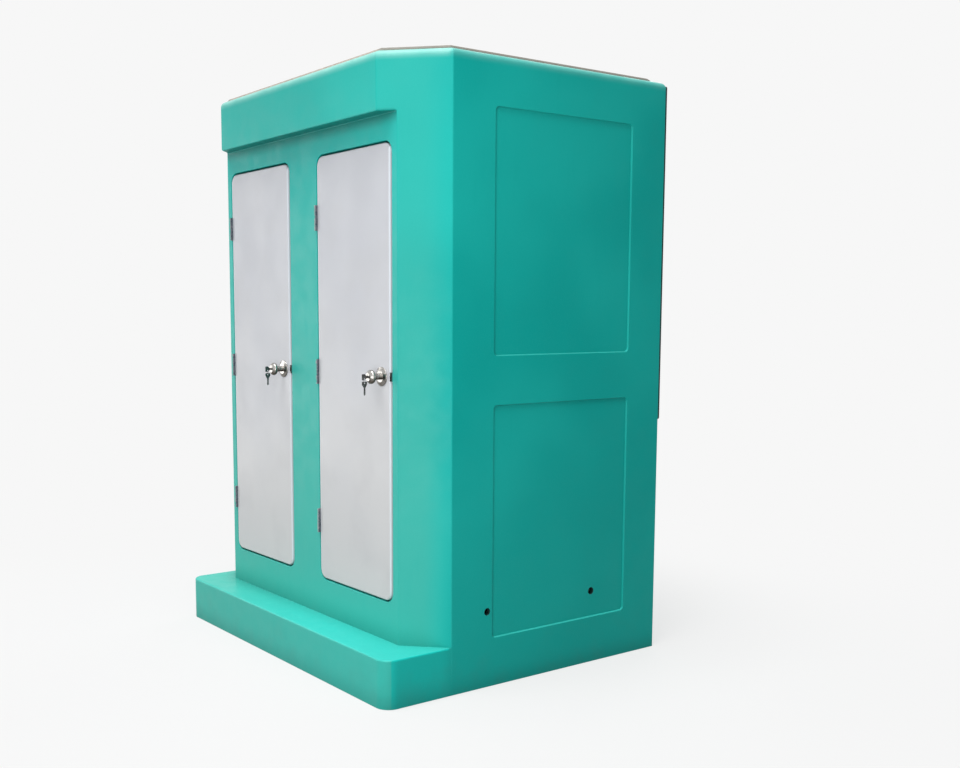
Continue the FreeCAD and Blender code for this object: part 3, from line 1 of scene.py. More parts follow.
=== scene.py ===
# Looks of the twin portable toilet cabin: its materials, the floor, the light and the camera.
# Units are metres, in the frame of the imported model: the doors face -Y and +Z is up.
import json
import math

import bpy
from mathutils import Matrix, Vector


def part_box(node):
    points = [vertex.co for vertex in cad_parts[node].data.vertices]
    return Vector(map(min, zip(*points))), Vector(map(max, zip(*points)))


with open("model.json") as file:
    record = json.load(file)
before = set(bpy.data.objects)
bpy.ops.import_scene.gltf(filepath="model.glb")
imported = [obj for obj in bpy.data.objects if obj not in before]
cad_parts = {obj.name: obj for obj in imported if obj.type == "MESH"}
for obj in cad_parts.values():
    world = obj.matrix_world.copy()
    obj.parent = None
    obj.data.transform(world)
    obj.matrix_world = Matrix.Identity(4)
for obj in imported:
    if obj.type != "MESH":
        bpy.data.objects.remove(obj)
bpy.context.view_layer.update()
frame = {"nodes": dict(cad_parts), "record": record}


def lowest(node, axis):
    """Where a node starts along X, Y or Z, at rest."""
    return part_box(node)[0]["XYZ".index(axis)]


def highest(node, axis):
    """Where a node ends along X, Y or Z, at rest."""
    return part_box(node)[1]["XYZ".index(axis)]


# Colours, linear
turquoise_deep = (0.003, 0.430, 0.384)
turquoise_light = (0.010, 0.505, 0.447)
# Painted sheen on the front walls and on the lit side of the hinges
turquoise_sheen = (0.060, 0.480, 0.402)
# Painted shade on the lower part of the sides and rear
turquoise_low_shade = (0.006, 0.390, 0.345)
# Painted light on up-facing faces
turquoise_lit_top = (0.045, 0.545, 0.480)
# Chalky speckle, also used for the edge wear with its painted highlight
turquoise_chalk_and_highlight = (0.090, 0.660, 0.600)
turquoise_shade = (0.004, 0.170, 0.145)
# Painted whitish sheen below the top edge
top_sheen_white = (0.380, 0.740, 0.670)
grime = (0.060, 0.190, 0.165)
gap_dark = (0.016, 0.017, 0.018)
inside_white = (0.640, 0.650, 0.640)
door_low = (0.600, 0.604, 0.612)
# Painted shade at the top of the doors
door_top_shaded = (0.505, 0.520, 0.560)
door_shade = (0.480, 0.485, 0.500)
# Painted highlight along the doors' edges
door_edge_highlight = (0.740, 0.790, 0.860)
laminate_brown = (0.340, 0.270, 0.215)
laminate_pale = (0.620, 0.560, 0.500)
laminate_grey = (0.190, 0.195, 0.170)
roof_grey = (0.420, 0.430, 0.415)
knob_bright = (0.520, 0.510, 0.490)
knob_grey = (0.300, 0.290, 0.270)
# Tarnish spots on the knobs, and the painted dark reflection below them
knob_tarnish_and_dark_reflection = (0.085, 0.070, 0.055)
# Painted highlight and painted shade of the hinges
hinge_lit_pale = (0.420, 0.430, 0.430)
hinge_shaded_grey = (0.200, 0.200, 0.230)
hinge_shaded_dark = (0.060, 0.080, 0.110)
background_white = (0.930, 0.930, 0.930)
sky_white = (0.960, 0.980, 1.000)
floor_seen_grey = (0.700, 0.700, 0.700)
floor_bounce_grey = (0.300, 0.300, 0.300)

# Dark and light shade of each plainer material, linear
rubber_shades = ((0.004, 0.005, 0.006), (0.016, 0.017, 0.018))
plate_shades = ((0.008, 0.055, 0.055), (0.020, 0.085, 0.085))
key_shades = ((0.060, 0.060, 0.060), (0.160, 0.160, 0.160))
chrome_shades = ((0.700, 0.710, 0.720), (0.780, 0.780, 0.790))
zinc_shades = ((0.300, 0.310, 0.320), (0.520, 0.530, 0.540))
tank_shades = ((0.020, 0.022, 0.024), (0.045, 0.047, 0.050))
grit_shades = ((0.170, 0.180, 0.180), (0.340, 0.350, 0.350))
panel_shades = ((0.600, 0.610, 0.600), (0.680, 0.690, 0.680))
ceramic_shades = ((0.740, 0.740, 0.720), (0.800, 0.800, 0.785))
seat_shades = ((0.660, 0.660, 0.650), (0.720, 0.720, 0.710))
pipe_shades = ((0.260, 0.270, 0.280), (0.340, 0.350, 0.360))
mirror_shades = ((0.860, 0.880, 0.880), (0.900, 0.910, 0.910))
aluminium_shades = ((0.500, 0.510, 0.520), (0.660, 0.670, 0.680))

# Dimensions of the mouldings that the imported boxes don't show
wall_thickness = 0.030
header_height = 0.234
header_reach = 0.060
corner_cut = 0.217
roof_thickness = 0.014

# A face lies this far inside a limit that is drawn to take it in
margin = 0.0005

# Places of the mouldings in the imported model
half_width = highest("rear_wall", "X")
shell_top = highest("side_wall_right", "Z")
header_front = lowest("front_moulding", "Y")
header_foot = shell_top - header_height
door_wall_front = header_front + header_reach
cut_line = half_width - header_front - corner_cut
roof_sheet_top = shell_top + roof_thickness - margin
rear_seam = lowest("rear_panel", "Y") + margin
door_edges = (lowest("door_right", "X"), highest("door_right", "X"))

# The rooms: their faces lie within these limits
room_side = highest("floor_pan", "X") + margin
room_front = lowest("floor_pan", "Y") - margin
room_rear = highest("base_step", "Y") + margin
room_foot = 0.350
room_cut_line = cut_line - wall_thickness * math.sqrt(2) + margin

# The pipe holes in the side walls, each a little wider than its bore to take in its rim
pipe_entries = [mount for mount in frame["record"]["mounts"] if mount["name"].startswith("pipe_entry")]
pipe_hole_rim = 0.0008
pipe_hole_radius = pipe_entries[0]["dims"]["r_mm"] / 1000.0 + pipe_hole_rim
pipe_hole_places = sorted({tuple(mount["pos_m"][1:]) for mount in pipe_entries})
pipe_hole_wall = (half_width - 0.040, half_width - 0.0006)

# Where the looks of the mouldings change: a pair is where a change starts and where it ends
front_end = (-0.540, -0.440)
side_start = (-0.500, -0.420)
side_face = (half_width - 0.007, half_width - 0.004)
seam_face = (half_width - 0.010, half_width - 0.008)
seam_blur = 0.001
top_edge_side = (half_width - 0.015, half_width - 0.003)
door_wall_rear = door_wall_front + 0.0205
door_wall_cut_line = cut_line - 0.003
# On the door wall the painted sheen fades out from this height up to the header
door_wall_sheen_stop = 1.90
deck_bright_start = (-0.80, 0.40)
# Height of the painted sheen band below the top edge
top_sheen_band = 0.045
header_shade_band = 0.060
# Top of the painted shade on the lower sides and rear
low_shade_top = 1.40
foot_dirt_height = 0.25
shelter_reach = 0.130
# Width of the edge wear with its painted highlight
edge_wear_and_highlight_width = 0.006
door_highlight_width = 0.008
roof_side_start = (0.62, 0.68)
roof_edge_blur = 0.001

# How the painted sheen on the front changes: from where, to where, and the share at each
sheen_across = (-0.90, 0.70, 1.00, 0.75)
sheen_upwards = (0.50, 2.40, 1.00, 0.38)

# How strongly each effect shows, from 0 to 1
low_shade_share = 0.70
streak_share = 0.12
mottle_share = 0.05
# Share of the edge wear with its painted highlight
edge_wear_and_highlight_share = 0.18
wall_corner_share = 0.45
deck_corner_share = 0.18
header_shade_share = 0.60
foot_dirt_share = 0.18
dark_place_share = 0.92
door_cloud_share = 0.30
door_highlight_share = 0.75

# The floor: its shading shows near the cabin and fades out between two distances
floor_size = 120.0
floor_drop = 0.001
floor_fade = (1.2, 3.6)
floor_glow_share = (0.72, 1.0)
sky_strength = 0.05

# The photograph's camera, from a fit to the cabin's straight edges
image_width = 960.0
image_height = 768.0
focal_pixels = 1125.66
centre_column = 408.79
centre_row = 445.20
camera_azimuth = 54.543
camera_down = 6.7165
camera_roll = -0.0701
camera_place = (4.47722, -3.20535, 1.57886)


class Look:
    """One material being built: its node tree, object coordinates and surface shader."""

    def __init__(self, name, **constants):
        self.material = bpy.data.materials.new(name)
        self.material.use_nodes = True
        self.tree = self.material.node_tree
        self.surface = self.tree.nodes["Principled BSDF"]
        self.coordinates = self.node("ShaderNodeTexCoord").outputs["Object"]
        for socket, value in constants.items():
            self.surface.inputs[socket.replace("_", " ")].default_value = value

    def node(self, kind, **properties):
        """A new node with its properties set."""
        made = self.tree.nodes.new(kind)
        for key, value in properties.items():
            setattr(made, key, value)
        return made

    def feed(self, socket, value):
        """Link an output to a socket, or set the socket to a constant."""
        if isinstance(value, bpy.types.NodeSocket):
            self.tree.links.new(value, socket)
        elif isinstance(value, tuple) and len(value) == 3 and socket.type == "RGBA":
            socket.default_value = (*value, 1.0)
        else:
            socket.default_value = value

    def math(self, operation, first, second=0.0):
        """A number from one or two numbers."""
        made = self.node("ShaderNodeMath", operation=operation)
        self.feed(made.inputs[0], first)
        self.feed(made.inputs[1], second)
        return made.outputs[0]

    def times(self, first, *others):
        """Several shares multiplied together."""
        for other in others:
            first = self.math("MULTIPLY", first, other)
        return first

    def largest(self, first, *others):
        """The largest of several shares."""
        for other in others:
            first = self.math("MAXIMUM", first, other)
        return first

    def stretched(self, x, y, z):
        """Object coordinates scaled along each axis."""
        made = self.node("ShaderNodeVectorMath", operation="MULTIPLY")
        self.feed(made.inputs[0], self.coordinates)
        made.inputs[1].default_value = (x, y, z)
        return made.outputs[0]

    def axis(self, letter):
        """The object coordinate along X, Y or Z, in metres."""
        made = self.node("ShaderNodeSeparateXYZ")
        self.feed(made.inputs[0], self.coordinates)
        return made.outputs[letter]

    def facing(self, letter):
        """How far the face points along X, Y or Z of the piece, from -1 to 1."""
        made = self.node("ShaderNodeSeparateXYZ")
        self.feed(made.inputs[0], self.node("ShaderNodeTexCoord").outputs["Normal"])
        return made.outputs[letter]

    def noise(self, scale, detail=3.0, vector=None, roughness=0.5):
        """Cloudy noise between 0 and 1."""
        made = self.node("ShaderNodeTexNoise")
        self.feed(made.inputs["Vector"], vector or self.coordinates)
        made.inputs["Scale"].default_value = scale
        made.inputs["Detail"].default_value = detail
        made.inputs["Roughness"].default_value = roughness
        return made.outputs["Fac"]

    def cells(self, scale):
        """A random grey for each cell of a Voronoi pattern."""
        made = self.node("ShaderNodeTexVoronoi")
        self.feed(made.inputs["Vector"], self.coordinates)
        made.inputs["Scale"].default_value = scale
        split = self.node("ShaderNodeSeparateColor")
        self.feed(split.inputs[0], made.outputs["Color"])
        return split.outputs[0]

    def ramp(self, value, low, high, start=0.0, end=1.0):
        """A value stretched smoothly from a range to another, held at its ends."""
        made = self.node("ShaderNodeMapRange", interpolation_type="SMOOTHSTEP", clamp=True)
        self.feed(made.inputs["Value"], value)
        for socket, number in (("From Min", low), ("From Max", high), ("To Min", start), ("To Max", end)):
            self.feed(made.inputs[socket], number)
        return made.outputs["Result"]

    def between(self, value, low, high, blur=0.001):
        """1 where a value lies between two limits, 0 elsewhere."""
        above = self.ramp(value, low - blur, low + blur)
        below = self.ramp(value, high - blur, high + blur, 1.0, 0.0)
        return self.times(above, below)

    def near_line(self, y, z, radius, blur=0.0004):
        """1 within a radius of a line along X, 0 elsewhere."""
        made = self.node("ShaderNodeVectorMath", operation="DISTANCE")
        self.feed(made.inputs[0], self.stretched(0.0, 1.0, 1.0))
        made.inputs[1].default_value = (0.0, y, z)
        return self.ramp(made.outputs["Value"], radius - blur, radius, 1.0, 0.0)

    def sheltered(self, reach):
        """0 on open faces, towards 1 in inner corners and narrow gaps up to the reach."""
        made = self.node("ShaderNodeAmbientOcclusion", samples=8)
        made.inputs["Distance"].default_value = reach
        return self.ramp(made.outputs["AO"], 0.45, 0.95, 1.0, 0.0)

    def edges(self, width):
        """1 along rounded and sharp edges, 0 on flat faces."""
        soft = self.node("ShaderNodeBevel", samples=6)
        soft.inputs["Radius"].default_value = width
        plain = self.node("ShaderNodeNewGeometry").outputs["True Normal"]
        meet = self.node("ShaderNodeVectorMath", operation="DOT_PRODUCT")
        self.feed(meet.inputs[0], soft.outputs[0])
        self.feed(meet.inputs[1], plain)
        return self.ramp(meet.outputs["Value"], 0.80, 0.995, 1.0, 0.0)

    def mix(self, share, first, second):
        """A colour between two colours. Inputs 6 and 7 and output 2 are the node's colour sockets."""
        made = self.node("ShaderNodeMix", data_type="RGBA")
        self.feed(made.inputs[0], share)
        self.feed(made.inputs[6], first)
        self.feed(made.inputs[7], second)
        return made.outputs[2]

    def bump(self, height, distance, below=None):
        """A bumped normal from a height, on top of another one."""
        made = self.node("ShaderNodeBump")
        made.inputs["Distance"].default_value = distance
        self.feed(made.inputs["Height"], height)
        if below:
            self.feed(made.inputs["Normal"], below)
        return made.outputs["Normal"]

    def finish(self, colour, roughness, normal=None):
        """Feed the surface shader and give the material."""
        self.feed(self.surface.inputs["Base Color"], colour)
        self.feed(self.surface.inputs["Roughness"], roughness)
        if normal:
            self.feed(self.surface.inputs["Normal"], normal)
        return self.material


def gel_coat():
    """Turquoise gel coat outside, off-white gel coat on the faces of the rooms."""
    look = Look("gel_coat", Specular_IOR_Level=0.11)
    across = look.axis("X")
    depth = look.axis("Y")
    height = look.axis("Z")
    out = look.math("ABSOLUTE", across)
    clouds = look.ramp(look.noise(1.1, 2.0), 0.35, 0.65)
    colour = look.mix(clouds, turquoise_deep, turquoise_light)
    # Painted shade: the sides and rear darker towards the bottom
    foot = look.times(look.ramp(depth, *side_start),
                      look.ramp(height, 0.0, low_shade_top, low_shade_share, 0.0))
    colour = look.mix(foot, colour, turquoise_low_shade)
    recessed = door_wall_share(look, out, depth, height)
    recessed_height = look.times(recessed, height)
    # Painted sheen on the front, taken off the door wall just under the header
    sheen_on_front = look.times(front_sheen_share(look, out, across, depth, height),
                       look.ramp(recessed_height, door_wall_sheen_stop, header_foot, 1.0, 0.0))
    colour = look.mix(sheen_on_front, colour, turquoise_sheen)
    # Painted light: up-facing faces lighter, more so towards +X
    deck = look.times(look.ramp(look.facing("Z"), 0.7, 0.95), look.ramp(across, *deck_bright_start))
    colour = look.mix(deck, colour, turquoise_lit_top)
    streaks = look.noise(5.0, 3.0, look.stretched(4.0, 4.0, 0.6))
    colour = look.mix(look.ramp(streaks, 0.55, 0.75, 0.0, streak_share), colour, turquoise_deep)
    mottle = look.ramp(look.noise(160.0, 3.0), 0.45, 0.75, 0.0, mottle_share)
    colour = look.mix(mottle, colour, turquoise_chalk_and_highlight)
    shelter = look.sheltered(shelter_reach)
    # Edge wear with a painted highlight along convex edges, kept out of inner corners
    worn = look.times(look.edges(edge_wear_and_highlight_width), look.math("SUBTRACT", 1.0, shelter), edge_wear_and_highlight_share)
    colour = look.mix(worn, colour, turquoise_chalk_and_highlight)
    corner_shade = look.times(shelter, look.ramp(deck, 0.0, 1.0, wall_corner_share, deck_corner_share))
    colour = look.mix(corner_shade, colour, turquoise_shade)
    shade_start = header_foot - header_shade_band
    under_header = look.ramp(recessed_height, shade_start, header_foot, 0.0, header_shade_share)
    colour = look.mix(under_header, colour, turquoise_shade)
    # Painted sheen: a whitish band below the top edge
    colour = look.mix(top_edge_sheen_share(look, out, height), colour, top_sheen_white)
    dirt = look.times(look.ramp(height, 0.0, foot_dirt_height, foot_dirt_share, 0.0),
                      look.ramp(look.noise(6.0, 5.0, roughness=0.6), 0.42, 0.70))
    colour = look.mix(dirt, colour, grime)
    # Painted shade on the walls of the pipe holes, and a dark line along the rear panel's seams
    dark = look.times(dark_places(look, out, depth), dark_place_share)
    colour = look.mix(dark, colour, gap_dark)
    colour = look.mix(room_share(look, out, across, depth, height), colour, inside_white)
    gloss = look.ramp(look.noise(14.0, 4.0), 0.3, 0.7, 0.34, 0.46)
    waves = look.bump(look.noise(3.0, 2.0), 0.004)
    peel = look.bump(look.noise(260.0, 2.0), 0.00015, waves)
    return look.finish(colour, gloss, peel)


def front_sheen_share(look, out, across, depth, height):
    """Painted sheen on the front: most at its left and low down."""
    front = look.times(look.ramp(depth, *front_end, 1.0, 0.0), look.ramp(out, *side_face, 1.0, 0.0))
    return look.times(front, look.ramp(across, *sheen_across), look.ramp(height, *sheen_upwards))


def within_cut(look, out, depth, line):
    """1 on the inner side of a 45 degree line at each front corner, 0 beyond it."""
    return look.math("LESS_THAN", look.math("SUBTRACT", out, depth), line)


def door_wall_share(look, out, depth, height):
    """1 on the set-back door wall and the header's underside, 0 elsewhere."""
    set_back = look.math("LESS_THAN", depth, door_wall_rear)
    below = look.math("LESS_THAN", height, header_foot + margin)
    return look.times(set_back, within_cut(look, out, depth, door_wall_cut_line), below)


def top_edge_sheen_share(look, out, height):
    """Painted whitish sheen in a band below the top edge, thinner on the sides."""
    band = look.ramp(height, shell_top - top_sheen_band, shell_top)
    uneven = look.ramp(look.noise(9.0, 3.0), 0.3, 0.7, 0.75, 1.0)
    sides = look.ramp(out, *top_edge_side, 1.0, 0.45)
    return look.times(band, uneven, sides)


def dark_places(look, out, depth):
    """Painted shade on the walls of the pipe holes, and a dark line along the seam at the rear panel's
    side edges.
    """
    wall = look.between(out, *pipe_hole_wall, 0.0003)
    holes = look.largest(*[look.near_line(y, z, pipe_hole_radius) for y, z in pipe_hole_places])
    seam = look.times(look.ramp(depth, rear_seam - seam_blur, rear_seam), look.ramp(out, *seam_face))
    return look.largest(look.times(wall, holes), seam)


def room_share(look, out, across, depth, height):
    """1 on the faces of the rooms, 0 outside."""
    return look.times(look.between(across, -room_side, room_side),
                      look.between(depth, room_front, room_rear),
                      look.ramp(height, room_foot, room_foot + 0.002),
                      within_cut(look, out, depth, room_cut_line))


def door_skin():
    """Off-white door skin, darker and bluer towards the top as painted shade, with broad faint clouds and
    a painted highlight line along its edges.
    """
    look = Look("door_skin", Specular_IOR_Level=0.25)
    # Painted shade: the skin darker and bluer towards the top
    broad = look.math("ADD", look.axis("Z"), look.ramp(look.noise(1.6, 2.0), 0.30, 0.70, -0.25, 0.25))
    colour = look.mix(look.ramp(broad, 0.45, 1.95), door_low, door_top_shaded)
    clouds = look.ramp(look.noise(4.5, 3.0), 0.45, 0.75, 0.0, door_cloud_share)
    colour = look.mix(clouds, colour, door_shade)
    out = look.math("ABSOLUTE", look.axis("X"))
    inner, outer = door_edges
    rim = look.largest(look.between(out, inner, inner + door_highlight_width),
                       look.between(out, outer - door_highlight_width, outer))
    # Painted highlight along the doors' edges
    colour = look.mix(look.times(rim, door_highlight_share), colour, door_edge_highlight)
    gloss = look.ramp(look.noise(6.0, 3.0), 0.3, 0.7, 0.28, 0.38)
    ripples = look.bump(look.noise(2.5, 2.0), 0.0015)
    grain = look.bump(look.noise(350.0, 2.0), 0.00004, ripples)
    return look.finish(colour, gloss, grain)


def roof_laminate():
    """Grey gel coat on top of the roof sheet, raw laminate with fibres on its edge."""
    look = Look("roof_laminate", Specular_IOR_Level=0.30)
    fibres = look.ramp(look.noise(60.0, 5.0, look.stretched(1.0, 1.0, 14.0), 0.7), 0.40, 0.65)
    raw = look.mix(fibres, laminate_brown, laminate_pale)
    sides = look.ramp(look.math("ABSOLUTE", look.axis("X")), *roof_side_start, 0.0, 0.8)
    raw = look.mix(sides, raw, laminate_grey)
    top = look.mix(look.ramp(look.noise(4.0, 5.0), 0.4, 0.7), roof_grey, laminate_pale)
    upper = look.ramp(look.axis("Z"), roof_sheet_top - roof_edge_blur, roof_sheet_top)
    colour = look.mix(upper, raw, top)
    rough = look.ramp(look.noise(30.0), 0.3, 0.7, 0.55, 0.75)
    normal = look.bump(look.noise(180.0, 4.0), 0.0006)
    return look.finish(colour, rough, normal)


def hinge_metal():
    """Painted hinge knuckles with worn mottling, a painted highlight on one side and painted shade on the
    other.
    """
    look = Look("hinge_metal", Specular_IOR_Level=0.3)
    # Painted light: faces pointing along +X shaded dark, the others lit pale
    side = look.ramp(look.facing("X"), 0.30, 0.95)
    worn = look.ramp(look.noise(75.0, 4.0, roughness=0.65), 0.35, 0.65)
    pale = look.mix(worn, turquoise_sheen, hinge_lit_pale)
    dark = look.mix(worn, hinge_shaded_dark, hinge_shaded_grey)
    colour = look.mix(side, pale, dark)
    return look.finish(colour, look.ramp(worn, 0.0, 1.0, 0.45, 0.65), look.bump(worn, 0.0002))


def knob_metal():
    """Stainless steel of the knobs and roses: a painted reflection bright above and brownish below,
    tarnish spots, fine turned lines.
    """
    look = Look("knob_metal", Metallic=1.0)
    lines = look.noise(120.0, 4.0, look.stretched(1.0, 12.0, 1.0), 0.6)
    bright = look.mix(look.ramp(lines, 0.3, 0.7), knob_grey, knob_bright)
    # Painted reflection: faces pointing up bright, faces pointing down brownish
    colour = look.mix(look.ramp(look.facing("Z"), -0.75, 0.35), knob_tarnish_and_dark_reflection, bright)
    spots = look.ramp(look.noise(55.0, 4.0, roughness=0.65), 0.52, 0.66, 0.0, 0.6)
    colour = look.mix(spots, colour, knob_tarnish_and_dark_reflection)
    gloss = look.ramp(look.noise(40.0, 3.0), 0.3, 0.7, 0.16, 0.30)
    return look.finish(colour, gloss, look.bump(lines, 0.00005))


def zinc():
    """Hot-dip galvanised steel with its crystal pattern."""
    look = Look("zinc", Metallic=0.9)
    crystals = look.cells(55.0)
    colour = look.mix(crystals, *zinc_shades)
    gloss = look.ramp(crystals, 0.0, 1.0, 0.35, 0.60)
    return look.finish(colour, gloss, look.bump(look.noise(90.0), 0.0002))


def floor_grit():
    """Grey floor gel coat with grit rolled into it."""
    look = Look("floor_grit", Specular_IOR_Level=0.35)
    grains = look.cells(380.0)
    colour = look.mix(look.ramp(grains, 0.3, 0.9), *grit_shades)
    gloss = look.ramp(look.noise(20.0), 0.3, 0.7, 0.50, 0.70)
    return look.finish(colour, gloss, look.bump(grains, 0.0006))


def mirror_glass():
    """Silvered glass with a faint haze."""
    look = Look("mirror_glass", Metallic=1.0)
    colour = look.mix(look.ramp(look.noise(8.0), 0.4, 0.7), *mirror_shades)
    return look.finish(colour, look.ramp(look.noise(12.0), 0.4, 0.8, 0.02, 0.08))


def mottled(name, shades, scale, rough, grain=0.0002, fine=200.0, **constants):
    """A plain material with cloudy colour, uneven gloss and a fine grain."""
    look = Look(name, **constants)
    clouds = look.ramp(look.noise(scale, 4.0, roughness=0.6), 0.35, 0.68)
    colour = look.mix(clouds, *shades)
    gloss = look.ramp(look.noise(scale * 3.0, 3.0), 0.3, 0.7, *rough)
    return look.finish(colour, gloss, look.bump(look.noise(fine, 3.0), grain))


def brushed(name, shades, stretch, rough):
    """A metal with fine lines along one direction."""
    look = Look(name, Metallic=1.0)
    lines = look.noise(120.0, 4.0, look.stretched(*stretch), 0.6)
    colour = look.mix(look.ramp(lines, 0.3, 0.7), *shades)
    gloss = look.ramp(look.noise(40.0, 3.0), 0.3, 0.7, *rough)
    return look.finish(colour, gloss, look.bump(lines, 0.00005))


materials = {
    "gel_coat": gel_coat(),
    "door_skin": door_skin(),
    "roof_laminate": roof_laminate(),
    "knob_metal": knob_metal(),
    "hinge_metal": hinge_metal(),
    "zinc": zinc(),
    "floor_grit": floor_grit(),
    "mirror_glass": mirror_glass(),
    "chrome": brushed("chrome", chrome_shades, stretch=(1.0, 1.0, 1.0), rough=(0.06, 0.14)),
    "aluminium": brushed("aluminium", aluminium_shades, stretch=(1.0, 20.0, 20.0), rough=(0.25, 0.40)),
    "rubber": mottled("rubber", rubber_shades, scale=30.0, rough=(0.60, 0.80), Specular_IOR_Level=0.2),
    "dark_steel": mottled("dark_steel", plate_shades, scale=120.0, rough=(0.40, 0.60)),
    "key_steel": mottled("key_steel", key_shades, scale=150.0, rough=(0.30, 0.50), Metallic=1.0),
    "tank_plastic": mottled("tank_plastic", tank_shades, scale=6.0, rough=(0.40, 0.60)),
    "panel_white": mottled("panel_white", panel_shades, scale=2.0, rough=(0.35, 0.50)),
    "ceramic": mottled("ceramic", ceramic_shades, scale=3.0, rough=(0.08, 0.14), grain=0.00004, fine=40.0,
                       Coat_Weight=0.6, Coat_Roughness=0.05),
    "seat_plastic": mottled("seat_plastic", seat_shades, scale=8.0, rough=(0.25, 0.35)),
    "pipe_grey": mottled("pipe_grey", pipe_shades, scale=12.0, rough=(0.35, 0.50)),
}

# The material for each slot of the record
by_slot = {
    "shell_grp": "gel_coat",
    "base_grp": "gel_coat",
    "roof_grp": "roof_laminate",
    "floor_grp": "floor_grit",
    "door_skin": "door_skin",
    "seal_rubber": "rubber",
    "steel": "knob_metal",
    "hinge_steel": "hinge_metal",
    "chrome": "chrome",
    "brass": "key_steel",
    "galvanised": "zinc",
    "aluminium": "aluminium",
    "tank_plastic": "tank_plastic",
    "panel_white": "panel_white",
    "ceramic": "ceramic",
    "seat_plastic": "seat_plastic",
    "pipe_grey": "pipe_grey",
    "mirror": "mirror_glass",
}

# Nodes that look different from the rest of their slot
by_node = {
    "key_left": "key_steel",
    "key_right": "key_steel",
    "spare_key_left": "key_steel",
    "spare_key_right": "key_steel",
    "strike_plates": "dark_steel",
}


def dress_nodes():
    """Give every CAD node its own material, or else that of its slot in the record."""
    slots = {part["node"]: part["material_slot"] for part in frame["record"]["subparts"]}
    for name, node in frame["nodes"].items():
        node.data.materials.clear()
        node.data.materials.append(materials[by_node.get(name, by_slot[slots[name]])])


def ray_share(nodes, link, *kinds):
    """1 for rays of the named kinds, 0 for all others."""
    path = nodes.new("ShaderNodeLightPath")
    share = path.outputs[kinds[0]]
    for kind in kinds[1:]:
        larger = nodes.new("ShaderNodeMath")
        larger.operation = "MAXIMUM"
        link(share, larger.inputs[0])
        link(path.outputs[kind], larger.inputs[1])
        share = larger.outputs[0]
    return share


def mixed_shader(nodes, link, share, first, second):
    """A shader between two shaders."""
    made = nodes.new("ShaderNodeMixShader")
    link(share, made.inputs[0])
    link(first, made.inputs[1])
    link(second, made.inputs[2])
    return made.outputs[0]


def coloured(nodes, kind, colour):
    """A shader of one kind and colour."""
    made = nodes.new(kind)
    made.inputs["Color"].default_value = (*colour, 1.0)
    return made


def pale_floor():
    """A large pale floor. What the camera sees of it is near white, with a soft share of its shading."""
    bpy.ops.mesh.primitive_grid_add(x_subdivisions=8, y_subdivisions=8, size=floor_size)
    floor = bpy.context.object
    floor.name = "studio_floor"
    floor.location.z = -floor_drop
    material = bpy.data.materials.new("floor_white")
    material.use_nodes = True
    nodes = material.node_tree.nodes
    link = material.node_tree.links.new
    nodes.clear()
    bounce = coloured(nodes, "ShaderNodeBsdfDiffuse", floor_bounce_grey).outputs[0]
    shaded = coloured(nodes, "ShaderNodeBsdfDiffuse", floor_seen_grey).outputs[0]
    glow = coloured(nodes, "ShaderNodeEmission", background_white).outputs[0]
    distance = nodes.new("ShaderNodeVectorMath")
    distance.operation = "LENGTH"
    link(nodes.new("ShaderNodeTexCoord").outputs["Object"], distance.inputs[0])
    fade = nodes.new("ShaderNodeMapRange")
    fade.interpolation_type = "SMOOTHSTEP"
    link(distance.outputs["Value"], fade.inputs["Value"])
    for socket, number in zip(("From Min", "From Max", "To Min", "To Max"), floor_fade + floor_glow_share):
        fade.inputs[socket].default_value = number
    seen = mixed_shader(nodes, link, fade.outputs["Result"], shaded, glow)
    looking = ray_share(nodes, link, "Is Camera Ray", "Is Glossy Ray")
    output = nodes.new("ShaderNodeOutputMaterial")
    link(mixed_shader(nodes, link, looking, bounce, seen), output.inputs["Surface"])
    floor.data.materials.append(material)


def surroundings():
    """Soft grey light from all round, seen as a near white background."""
    world = bpy.data.worlds.new("studio")
    bpy.context.scene.world = world
    world.use_nodes = True
    nodes = world.node_tree.nodes
    link = world.node_tree.links.new
    nodes.clear()
    light = coloured(nodes, "ShaderNodeBackground", sky_white)
    light.inputs["Strength"].default_value = sky_strength
    seen = coloured(nodes, "ShaderNodeBackground", background_white)
    looking = ray_share(nodes, link, "Is Camera Ray", "Is Glossy Ray", "Is Transmission Ray")
    output = nodes.new("ShaderNodeOutputWorld")
    link(mixed_shader(nodes, link, looking, light.outputs[0], seen.outputs[0]), output.inputs["Surface"])


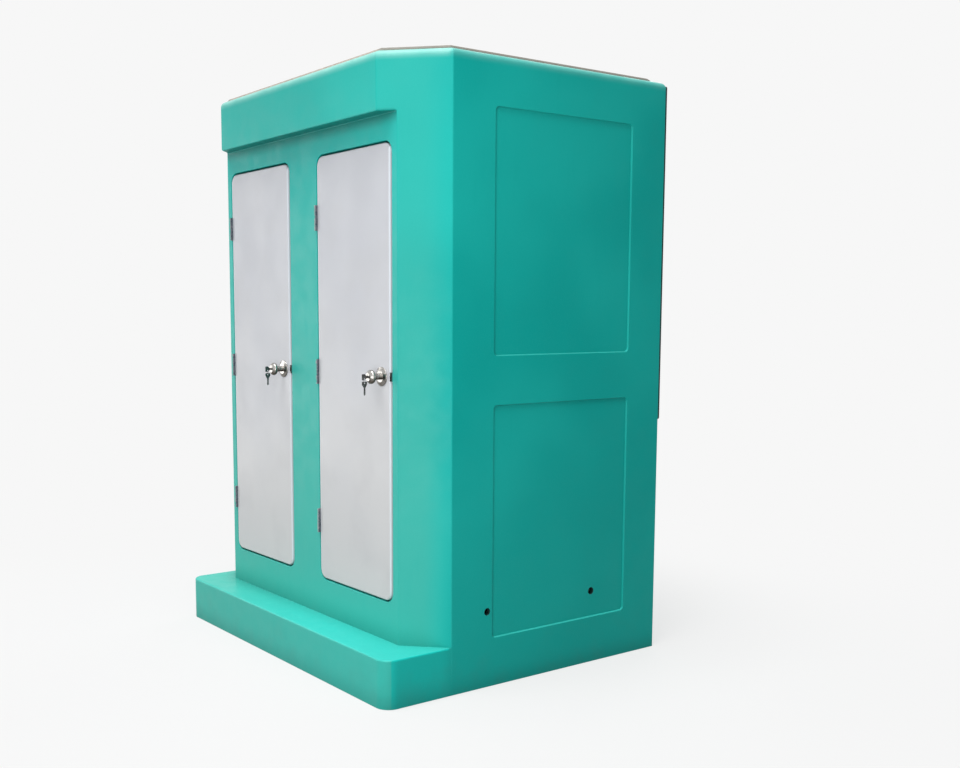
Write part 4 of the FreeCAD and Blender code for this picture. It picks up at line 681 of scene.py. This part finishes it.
def soft_sun(name, azimuth, elevation, strength, spread):
    """A soft distant lamp. Azimuth is measured from -Y towards +X."""
    lamp = bpy.data.lights.new(name, "SUN")
    lamp.energy = strength
    lamp.angle = math.radians(spread)
    holder = bpy.data.objects.new(name, lamp)
    bpy.context.scene.collection.objects.link(holder)
    turn = math.radians(azimuth)
    rise = math.radians(elevation)
    level = math.cos(rise)
    towards = Vector((math.sin(turn) * level, -math.cos(turn) * level, math.sin(rise)))
    holder.rotation_euler = towards.to_track_quat("Z", "Y").to_euler()


def softbox(name, place, target, width, height, watts):
    """A rectangular lamp at one place, turned towards another."""
    lamp = bpy.data.lights.new(name, "AREA")
    lamp.shape = "RECTANGLE"
    lamp.size = width
    lamp.size_y = height
    lamp.energy = watts
    holder = bpy.data.objects.new(name, lamp)
    bpy.context.scene.collection.objects.link(holder)
    holder.location = place
    holder.rotation_euler = (Vector(target) - Vector(place)).to_track_quat("-Z", "Y").to_euler()


def camera():
    """The photograph's camera: about 5.5 m away, front right, at 1.58 m, looking a little down."""
    data = bpy.data.cameras.new("camera")
    data.sensor_width = 36.0
    data.lens = focal_pixels * data.sensor_width / image_width
    data.shift_x = (image_width / 2 - centre_column) / image_width
    data.shift_y = (centre_row - image_height / 2) / image_width
    data.clip_end = 200.0
    holder = bpy.data.objects.new("camera", data)
    bpy.context.scene.collection.objects.link(holder)
    turn = math.radians(camera_azimuth)
    down = math.radians(camera_down)
    level = math.cos(down)
    forward = Vector((-math.sin(turn) * level, math.cos(turn) * level, -math.sin(down)))
    aim = (-forward).to_track_quat("Z", "Y")
    roll = Matrix.Rotation(math.radians(camera_roll), 3, "Z").to_quaternion()
    holder.rotation_mode = "QUATERNION"
    holder.rotation_quaternion = aim @ roll
    holder.location = camera_place
    bpy.context.scene.camera = holder


dress_nodes()
pale_floor()
surroundings()
soft_sun("sky", azimuth=20.0, elevation=75.0, strength=3.1, spread=40.0)
softbox("corner", place=(2.3, -2.2, 3.4), target=(0.8, -0.4, 1.6), width=1.6, height=1.6, watts=30.0)
softbox("low", place=(3.2, -3.6, 1.0), target=(0.6, -0.4, 1.2), width=1.8, height=1.8, watts=64.0)
softbox("left", place=(-4.1, -3.3, 1.6), target=(0.0, -0.6, 1.4), width=2.6, height=3.0, watts=74.0)
softbox("back", place=(-2.6, 4.6, 3.4), target=(0.0, 0.5, 1.2), width=3.0, height=3.0, watts=90.0)
camera()

view = bpy.context.scene.view_settings
view.view_transform = "Standard"
